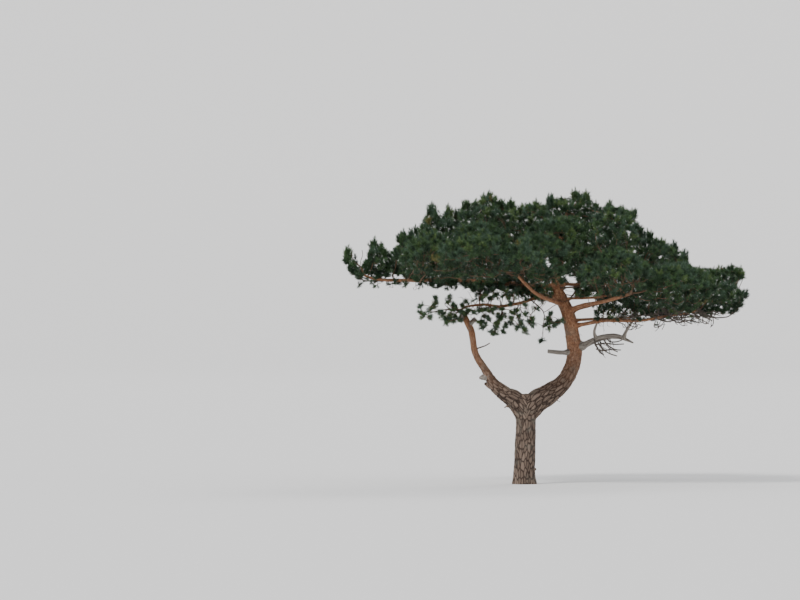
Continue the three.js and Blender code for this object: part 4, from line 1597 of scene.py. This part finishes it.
for title, (spots, depth, foot_radius, end_radius, tuft) in drawn_twigs.items():
    line, _ = evenly(from_picture(spots, depth), np.zeros(len(spots)), fine_step)
    line = eased(line, 3)
    bark = dead_bark if title.startswith("dead") else live_bark
    loose_twigs.append((line, np.linspace(foot_radius, end_radius, len(line)), bark))
    if tuft:
        loose_tufts.append((line[-1], unit(line[-1] - line[-3])))
loose_twigs += [(*runs[title], live_bark) for title in spray_branches]
print(len(drawn_twigs), "twigs with lines of their own")

# %% [markdown]
# ## Twigs as one mesh
# Each branch is a line of places with a girth at each. Geometry Nodes turn the lines into curves and
# sweep a ring along them. Fine twigs get a ring of three sides, thicker ones more, because there are
# thousands of them and each is only a few millimetres thick.

# %% A tree that sweeps the twigs
def dealt_out(tree, geometry, attribute, materials):
    """The geometry, each part with the material whose number its attribute holds."""
    for number, material in enumerate(materials):
        same = linked(
            tree, "FunctionNodeCompare", set_data_type="INT", set_operation="EQUAL",
            i2=attribute_of(tree, attribute, "INT"), i3=number,
        )
        geometry = linked(
            tree, "GeometryNodeSetMaterial", Geometry=geometry, Selection=same.outputs[0], Material=material,
        ).outputs[0]
    return geometry


bark_titles = ("Thin Bark", "Thick Bark", "Dead Bark")
sweeping, given, result = new_tree("sweep_twigs", [
    ("Sides", "NodeSocketInt"), *((title, "NodeSocketMaterial") for title in bark_titles),
])
as_curve = linked(sweeping, "GeometryNodeMeshToCurve", Mesh=given.outputs["Geometry"])
ring_curve = linked(
    sweeping, "GeometryNodeCurvePrimitiveCircle", Resolution=given.outputs["Sides"], Radius=1.0,
)
swept = linked(
    sweeping, "GeometryNodeCurveToMesh", Curve=as_curve.outputs[0], Profile_Curve=ring_curve.outputs[0],
    Scale=attribute_of(sweeping, "girth", "FLOAT"), Fill_Caps=True,
)
rounded = linked(sweeping, "GeometryNodeSetShadeSmooth", Geometry=swept.outputs[0])
real = linked(sweeping, "GeometryNodeRealizeInstances", Geometry=rounded.outputs[0])
barks = [given.outputs[title] for title in bark_titles]
sweeping.links.new(dealt_out(sweeping, real.outputs[0], "bark", barks), result.inputs["Geometry"])
print("the tree", sweeping.name, "has", len(sweeping.nodes), "nodes")

# %% Sweep every branch
twig_barks = [
    plain_material("twig_bark", (0.085, 0.055, 0.038), 0.8, 0.2),
    plain_material("branch_bark", (0.130, 0.078, 0.048), 0.78, 0.25),
    plain_material("dead_twig_bark", (0.095, 0.080, 0.068), 0.85, 0.2),
]
branch_girth, bough_girth = 0.0045, 0.010
dead_kind = tip_kinds.index("bare")
kind_of_wood = np.full(len(wood), -1)
kind_of_wood[tip_wood] = tip_kind


def line_mesh(name, lines):
    """A mesh of plain edges, with the girth and the kind of bark of each place."""
    corners, edges, girth, bark = [], [], [], []
    for places, radii, kind in lines:
        first = len(corners)
        corners += list(places)
        edges += [(first + i, first + i + 1) for i in range(len(places) - 1)]
        girth += list(radii)
        bark += [kind] * len(places)
    made = mesh_object(name, corners, [], edges)
    set_values(made.data, "girth", "FLOAT", np.array(girth, dtype=np.float32))
    set_values(made.data, "bark", "INT", np.array(bark, dtype=np.int32))
    return made


def swept_twigs(name, lines, sides):
    piece = line_mesh(name, lines)
    run_tree(piece, sweeping, {"Sides": sides, **dict(zip(bark_titles, twig_barks))})
    return piece


run_on, end_share = 0.6, 0.95
twig_lines = []
for chain in chains:
    if girths[chain[1]] < branch_girth and chain[1] < low_first:
        chain = chain[:-1:2] + chain[-1:]
    radii = girths[chain]
    radii[0] = radii[1]
    limb_end = is_start[chain[0]] and start_ends[chain[0]]
    if limb_end and chain[1] == max(children[chain[0]], key=lambda child: load[child]):
        lengths = lengths_along(wood[chain])
        radii = np.maximum(radii, start_girths[chain[0]] * end_share * (1 - lengths / run_on))
    thickest = radii.max()
    dead = kind_of_wood[chain[-1]] == dead_kind
    bark = 1 if thickest > branch_girth else 2 if dead else 0
    twig_lines.append((wood[chain], radii, bark))
twig_lines += loose_twigs
print(len(twig_lines), "lines of wood")

# %% [markdown]
# ## A shoot of needles
# Scots pine needles stand in pairs all round the shoot, at the golden angle, and lean forward more the
# nearer they are to its tip. Each is one long triangle, four or five times as wide as a real needle is,
# because a whole crown of needles at their true width would be tens of millions. A few forms are made
# by rule, and every shoot is a turned and scaled copy of one. The last two forms are short and loose, for
# the tufts that the sky shows through.

# %% Forms of the shoot
golden_angle = math.pi * (3 - math.sqrt(5))
needle_length, needle_width = 0.066, 0.0078
lean_low, lean_high = 74, 20
pair_spread, turn_waver, lean_waver = 0.13, 0.25, 11
least_length, most_length = 0.72, 1.15
stem_radius, stem_foot = 0.0026, -0.004
form_seed = 7
form_sizes = ((0.05, 18), (0.07, 22), (0.09, 25), (0.11, 29), (0.13, 32), (0.16, 38), (0.05, 11), (0.08, 14))
forms = bpy.data.collections.new("shoot_forms")
stems = bpy.data.collections.new("stem_forms")


def kept_in(collection, form):
    """Takes a form out of the scene, to be shown only by its copies."""
    bpy.context.scene.collection.objects.unlink(form)
    collection.objects.link(form)


def shoot_form(name, length, pairs, chance):
    corners, faces = [], []
    for pair in range(pairs):
        share = (pair + 0.5) / pairs
        turn = pair * golden_angle + chance.normal(0, turn_waver)
        lean = math.radians(lean_low + (lean_high - lean_low) * share ** 1.2 + chance.normal(0, lean_waver))
        out = np.array([math.cos(turn), math.sin(turn), 0])
        aside = np.array([-math.sin(turn), math.cos(turn), 0])
        root = np.array([0, 0, length * (0.04 + 0.96 * share)])
        for side in (-1, 1):
            way = unit(math.sin(lean) * out + math.cos(lean) * up + side * pair_spread * aside)
            width = unit(np.cross(way, unit(chance.normal(0, 1, 3)))) * needle_width / 2
            tip = root + way * needle_length * chance.uniform(least_length, most_length)
            first = len(corners)
            corners += [root - width, root + width, tip]
            faces.append((first, first + 1, first + 2))
    kept_in(forms, mesh_object(name, corners, faces))
    return len(faces)


chance = np.random.default_rng(form_seed)
form_faces = [
    shoot_form(f"shoot_form_{number}", length, pairs, chance)
    for number, (length, pairs) in enumerate(form_sizes)
]
stem_ring = [
    (stem_radius * math.cos(turn), stem_radius * math.sin(turn), stem_foot) for turn in (0, 2.094, 4.189)
]
for number, (length, _) in enumerate(form_sizes):
    corners = [*stem_ring, (0, 0, length)]
    kept_in(stems, mesh_object(f"stem_form_{number}", corners, [(0, 1, 3), (1, 2, 3)]))
print("forms with", form_faces, "needles")

# %% A tree that sets shoots on points
# The darkest tints are a painted shade for shoots within the crown, and the lightest, given only to shoots
# that face up, is a painted light.
needle_colours = {
    "needles_shaded": (0.020, 0.042, 0.020),
    "needles_deep": (0.034, 0.070, 0.030),
    "needles_green": (0.052, 0.100, 0.038),
    "needles_bluish": (0.056, 0.100, 0.060),
    "needles_light": (0.090, 0.145, 0.048),
    "needles_yellowed": (0.150, 0.140, 0.045),
}
needle_materials = [plain_material(name, colour, 0.55, 0.3) for name, colour in needle_colours.items()]
tint_titles = [f"Tint {number}" for number in range(len(needle_materials))]

setting, given, result = new_tree("set_shoots", [
    ("Forms", "NodeSocketCollection"), *((title, "NodeSocketMaterial") for title in tint_titles),
])
kept_forms = linked(
    setting, "GeometryNodeCollectionInfo", Collection=given.outputs["Forms"], Separate_Children=True,
    Reset_Children=True,
)
pointing = linked(
    setting, "FunctionNodeAlignRotationToVector", set_axis="Z",
    Vector=attribute_of(setting, "along", "FLOAT_VECTOR"),
)
spin = linked(
    setting, "FunctionNodeAxisAngleToRotation", Axis=(0, 0, 1), Angle=attribute_of(setting, "turn", "FLOAT"),
)
turned = linked(
    setting, "FunctionNodeRotateRotation", set_rotation_space="LOCAL",
    Rotation=pointing.outputs[0], Rotate_By=spin.outputs[0],
)
placed = linked(
    setting, "GeometryNodeInstanceOnPoints",
    Points=given.outputs["Geometry"], Instance=kept_forms.outputs[0],
    Pick_Instance=True, Instance_Index=attribute_of(setting, "form", "INT"), Rotation=turned.outputs[0],
    Scale=attribute_of(setting, "size", "FLOAT"),
)
real = linked(setting, "GeometryNodeRealizeInstances", Geometry=placed.outputs[0])
tints = [given.outputs[title] for title in tint_titles]
setting.links.new(dealt_out(setting, real.outputs[0], "tint", tints), result.inputs["Geometry"])
print("the tree", setting.name, "has", len(setting.nodes), "nodes")

# %% [markdown]
# ## Where every shoot points
# At a tip, one shoot carries on and a few stand round it, as the whorl of a year's growth does. All of
# them turn up to the light. Shoots on the top of the crown get lighter tints, a painted light, and some
# are blue-green, and those within it get dark tints, a painted shade.

# %% Whorls
whorl_seed = 31
whorl = {
    "outer": (4, 7), "inner": (2, 4), "crest": (6, 8), "fill": (4, 6), "sparse": (3, 6), "spur": (3, 6),
    "low": (2, 5), "tuft": (2, 5),
}
small_kinds = ("sparse", "spur", "low", "tuft")
small_size = 0.8
brush_tilt, whorl_tilt = 0.42, (34, 62)
brush_stray, small_stray, usual_stray, turn_stray = 0.1, 0.3, 0.18, 0.25
set_back, lifted, same_tint = 0.035, 0.18, 0.7
chance = np.random.default_rng(whorl_seed)
tip_onward = unit(wood[tip_wood] - wood[before[tip_wood]])
yellowed, yellowed_share = 5, 0.012
shoots, shoot_free = [], []


def add_whorl(place, onward, facing, kind, mass):
    """One shoot that carries on and a ring of others that lean out round it."""
    if kind == "crest":
        main = unit(up + chance.normal(0, brush_stray, 3))
    elif kind in small_kinds:
        main = unit(0.5 * up + 0.7 * onward + chance.normal(0, small_stray, 3))
    else:
        main = unit(0.55 * facing + 0.75 * up + 0.35 * onward + chance.normal(0, usual_stray, 3))
    side = unit(np.cross(main, unit(chance.normal(0, 1, 3))))
    other = np.cross(main, side)
    count = int(chance.integers(*whorl[kind]))
    if kind == "outer":
        count = 3 if facing[2] < -0.35 else count + int(facing[2] > 0.3)
    # Painted shade and light: shoots within the crown take the dark tints, shoots that face up take the
    # lighter ones, and the rest lean dark.
    if kind in ("inner", "spur", "fill"):
        tints = [0, 0, 1, 1]
    elif facing[2] > 0.15:
        tints = [1, 2, 2, 3, 3, 4]
    else:
        tints = [0, 1, 1, 2, 3]
    tint = int(chance.choice(tints)) if chance.random() > yellowed_share else yellowed
    size = chance.uniform(0.9, 1.15) * (small_size if kind in small_kinds else 1)
    own_forms = {"crest": (3, 4), "low": (0, 6, 7), "tuft": (0, 6, 7)}.get(kind, (0, 1, 2, 3))
    main_form = {"crest": 5, "low": 0, "tuft": 0}.get(kind, int(chance.integers(2, 5)))
    shoots.append((place, main, main_form, size, tint, mass))
    start = chance.uniform(0, 2 * math.pi)
    for number in range(count - 1):
        turn = start + 2 * math.pi * number / (count - 1) + chance.normal(0, turn_stray)
        tilt = math.radians(chance.uniform(*whorl_tilt) * (brush_tilt if kind == "crest" else 1))
        along = math.cos(tilt) * main + math.sin(tilt) * (math.cos(turn) * side + math.sin(turn) * other)
        behind = place - onward * chance.uniform(0, set_back)
        own_tint = tint if chance.random() < same_tint else int(chance.choice(tints))
        own_size = size * chance.uniform(0.85, 1.1)
        along = unit(along + lifted * up)
        shoots.append((behind, along, int(chance.choice(own_forms)), own_size, own_tint, mass))


for tip in np.flatnonzero(tip_kind != dead_kind):
    kind = tip_kinds[tip_kind[tip]]
    add_whorl(wood[tip_wood[tip]], tip_onward[tip], tip_facing[tip], kind, int(tip_mass[tip]))
    shoot_free += [kind in ("crest", *small_kinds)] * (len(shoots) - len(shoot_free))
for place, way in loose_tufts:
    add_whorl(place, way, up, "tuft", int(nearest_mass([place])[0]))
shoot_free += [True] * (len(shoots) - len(shoot_free))
print(len(shoots), "shoots")

# %% Trim to the outline
form_lengths = np.array([length for length, _ in form_sizes])
needle_reach, top_margin, gap_margin = 0.03, 0.065, 0.02


def shoot_table():
    """The shoots as arrays: place, direction, form, size, tint and mass."""
    return [np.array(column) for column in zip(*shoots)]


def within_outline(places, alongs, forms, sizes, free):
    """Which shoots keep clear of the gaps and, but for the free ones, within the crown's outline."""
    ends = places + alongs * ((form_lengths[forms] + needle_reach) * sizes)[:, None]
    seen = seen_at(ends)
    fits = free | ((seen[:, 1] < top_at(seen[:, 0]) + top_margin) & (seen[:, 1] > hanging_at(seen[:, 0])))
    middles = (places + ends) / 2
    for spots in (places, ends, middles):
        fits = fits & ~in_gap(spots, gap_margin)
    return fits


at, along, form, size, tint, mass = shoot_table()
clear = within_outline(at, along, form, size, np.array(shoot_free))
print(clear.sum(), "of", len(clear), "shoots are kept")

# %% [markdown]
# ## Where the sky would still show
# Light gets through needles strewn at random as it does through mist: the more needle area lies in front
# of a spot, the less. So the shoots' needles are added up over two grids, one on the picture plane and one
# on the plan, as seen from above. Where both have more than enough, shoots are dropped. Where the dense
# part of the crown has too few in one of them, short side shoots are set on the twigs that lie nearest in
# it, at whatever depth or, from above, on the highest of those.

# %% Needles in front of each cell
cell, soft_spot = 0.025, 0.034
side_on = 0.5
shares_along = (0.25, 0.6, 0.95)
needle_area = needle_length * needle_width / 2 * side_on
rim, grid_low, grid_height = 0.3, 2.4, 3.3
grid_foot = np.array([cad_box[0].x - rim, grid_low])
plan_foot = np.array([cad_box[0].x - rim, cad_box[0].y - rim])
columns = int((cad_box[1].x - cad_box[0].x + 2 * rim) / cell)
grid_shape = (columns, int(grid_height / cell))
cover = np.zeros(grid_shape)
cover_above = np.zeros((columns, int((cad_box[1].y - cad_box[0].y + 2 * rim) / cell)))
stamp_reach = 4
stamp_steps = np.arange(-stamp_reach, stamp_reach + 1)
stamp = np.exp(-(stamp_steps[:, None] ** 2 + stamp_steps[None] ** 2) * cell ** 2 / (2 * soft_spot ** 2))
stamp /= 2 * math.pi * soft_spot ** 2


def stamp_on(table, foot, spots, area):
    """Adds needle area to a table's cells round each of some places on its plane."""
    for corner in np.round((spots - foot) / cell).astype(int) - stamp_reach:
        last = corner + len(stamp)
        if (corner >= 0).all() and (last <= table.shape).all():
            table[corner[0]:last[0], corner[1]:last[1]] += stamp * area


def add_cover(place, along, form, size, share=1):
    """Adds a shoot's needles to both tables, round three spots of it."""
    reach = (form_lengths[form] + needle_reach) * size
    spots = np.array([place + along * reach * part for part in shares_along])
    area = share * form_faces[form] * needle_area * size ** 2 / len(shares_along)
    stamp_on(cover, grid_foot, seen_at(spots), area)
    stamp_on(cover_above, plan_foot, spots[:, :2], area)


for number in np.flatnonzero(clear):
    add_cover(at[number], along[number], form[number], size[number])
left_end, right_end = -3.2, 3.95


def cell_places(foot, shape):
    """The place of every cell of a table on its plane."""
    return np.stack(np.meshgrid(
        *[foot[axis] + cell * np.arange(shape[axis]) for axis in (0, 1)], indexing="ij",
    ), axis=-1)


grid, plan = cell_places(grid_foot, grid_shape), cell_places(plan_foot, cover_above.shape)
across, high = grid[:, :, 0], grid[:, :, 1]
dense = (high < top_at(across) - 0.02) & (high > base_at(across) + 0.03)
dense &= (across > left_end) & (across < right_end)
flat_grid = np.insert(grid.reshape(-1, 2), 1, 0, axis=1)
dense &= ~in_gap(flat_grid, 0.05).reshape(grid_shape)
under_crown = np.array([
    [crown_tree.ray_cast(Vector((x, y, 9)), Vector((0, 0, -1)))[0] is not None for x, y in row]
    for row in plan
])
dense_above = under_crown.copy()
for shift in ((3, 0), (-3, 0), (0, 3), (0, -3)):
    dense_above &= np.roll(under_crown, shift, axis=(0, 1))
print(dense.sum(), "cells in the dense part, cover", np.round(np.percentile(cover[dense], [2, 10, 50]), 1))
above_shares = np.percentile(cover_above[dense_above], [10, 50, 90])
print("from above:", dense_above.sum(), "cells, cover", np.round(above_shares, 1))

# %% Side shoots for thin cells
most_cover, most_above = 7.5, 4
least_cover, least_above, rounds = 4.8, 2.9, 3
side_reach = (0.09, 0.17)
side_seed, carrying_girth = 17, 0.008
chance = np.random.default_rng(side_seed)
dropped = 0
for number in chance.permutation(np.flatnonzero(clear & ~np.array(shoot_free))):
    middle = at[number] + along[number] * 0.05
    front_cell = tuple(np.round((seen_at([middle])[0] - grid_foot) / cell).astype(int))
    plan_cell = tuple(np.round((middle[:2] - plan_foot) / cell).astype(int))
    if dense[front_cell] and cover[front_cell] > most_cover and cover_above[plan_cell] > most_above:
        add_cover(at[number], along[number], form[number], size[number], -1)
        clear[number] = False
        dropped += 1
print(dropped, "shoots dropped where there are more than enough")

carrying = grown_wood[(girths[grown_wood] < carrying_girth) & (grown_wood < low_first)]
before_fill = len(shoots)


def fill_thin(table, within, least, places, marks, way_to, top_first):
    """Sets side shoots towards the cells of a table that have too few needles."""
    for column, row in chance.permutation(np.argwhere(within & (table < least))):
        if table[column, row] >= least:
            continue
        away = np.hypot(*(places - marks[column, row]).T)
        near = np.flatnonzero(away < side_reach[0])
        if not len(near) and away.min() < side_reach[1]:
            near = np.array([away.argmin()])
        if not len(near):
            continue
        height = wood[carrying[near], 2] * top_first + chance.uniform(0, 0.4, len(near))
        node = near[height.argmax()]
        way = unit(way_to(marks[column, row] - places[node]))
        form_number, scale = int(chance.integers(0, 3)), chance.uniform(0.9, 1.15)
        colour = int(chance.choice([0, 1, 1, 2, 2, 3]))
        place = wood[carrying[node]]
        if within_outline(place[None], way[None], np.array([form_number]), np.array([scale]), False)[0]:
            shoots.append((place, way, form_number, scale, colour, int(nearest_mass([place])[0])))
            add_cover(place, way, form_number, scale)


for _ in range(rounds):
    fill_thin(cover, dense, least_cover, seen_at(wood[carrying]), grid,
              lambda aim: np.array([aim[0], chance.normal(0, 0.05), aim[1] + 0.02]), 0)
print(len(shoots) - before_fill, "side shoots; thin cells left:", (dense & (cover < least_cover)).sum())
for _ in range(rounds):
    fill_thin(cover_above, dense_above, least_above, wood[carrying, :2], plan,
              lambda aim: np.array([aim[0], aim[1], chance.uniform(0, 0.08)]), 1)
left = (dense_above & (cover_above < least_above)).sum()
print(len(shoots) - before_fill, "with those for the view from above; thin cells left:", left)

shoot_at, shoot_along, shoot_form_of, shoot_size, shoot_tint, shoot_mass = shoot_table()
clear = np.r_[clear, np.ones(len(shoot_at) - before_fill, dtype=bool)]
needle_count = np.array(form_faces)[shoot_form_of[clear]].sum()
print(clear.sum(), "shoots with", needle_count, "needles")

# %% Deal the masses out to pieces
most_triangles, spare_room = 185000, 1.04


def shoot_points(name, chosen):
    """Points with what the tree reads: where each shoot points, its turn, size, form and tint."""
    made = mesh_object(name, shoot_at[chosen], [])
    turns = np.random.default_rng(len(chosen)).uniform(0, 2 * math.pi, len(chosen))
    set_values(made.data, "along", "FLOAT_VECTOR", shoot_along[chosen].astype(np.float32))
    for title, values in (("turn", turns), ("size", shoot_size[chosen])):
        set_values(made.data, title, "FLOAT", values.astype(np.float32))
    for title, values in (("form", shoot_form_of[chosen]), ("tint", shoot_tint[chosen])):
        set_values(made.data, title, "INT", values.astype(np.int32))
    return made


def set_shoots(name, chosen, collection, materials):
    piece = shoot_points(name, chosen)
    run_tree(piece, setting, {"Forms": collection, **dict(zip(tint_titles, materials))})
    return piece


faces_of_mass = np.zeros(len(masses))
np.add.at(faces_of_mass, shoot_mass[clear], np.array(form_faces)[shoot_form_of[clear]])
piece_count = math.ceil(faces_of_mass.sum() / most_triangles * spare_room)
aim = faces_of_mass.sum() / piece_count
groups, filled = [[]], 0
for number in sorted(range(len(masses)), key=lambda n: mass_middle[masses[n]][0]):
    if filled + faces_of_mass[number] / 2 > aim * len(groups) and len(groups) < piece_count:
        groups.append([])
    groups[-1].append(number)
    filled += faces_of_mass[number]
for number, group in enumerate(groups):
    chosen = np.flatnonzero(clear & np.isin(shoot_mass, group))
    piece = set_shoots(f"needles_{number + 1}", chosen, forms, needle_materials)
    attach(piece, "root")
    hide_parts(*(masses[n] for n in group))
    print(piece.name, len(piece.data.polygons), "needles for", len(group), "masses")

# %% Join the twigs and the stems into pieces
def joined_piece(name, parts):
    """One object from several, with the same materials in its slots."""
    for part in parts:
        part.select_set(True)
    bpy.context.view_layer.objects.active = parts[0]
    bpy.ops.object.join()
    parts[0].select_set(False)
    parts[0].name = name
    return parts[0]


sweeps = ((0, branch_girth, 3), (branch_girth, bough_girth, 5), (bough_girth, 1, 8))
twig_middle = 0.6
for name, leftward in (("twigs_left", True), ("twigs_right", False)):
    parts = []
    for low, high, sides in sweeps:
        lines = [
            line for line in twig_lines
            if low < line[1].max() <= high and (line[0][-1][0] < twig_middle) == leftward
        ]
        parts.append(swept_twigs(f"{name}_{sides}", lines, sides))
    chosen = np.flatnonzero(clear & ((shoot_at[:, 0] < twig_middle) == leftward))
    parts.append(set_shoots(f"{name}_stems", chosen, stems, [twig_barks[0]] * len(needle_materials)))
    piece = joined_piece(name, parts)
    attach(piece, "root")
    print(piece.name, triangles_in(piece), "triangles")
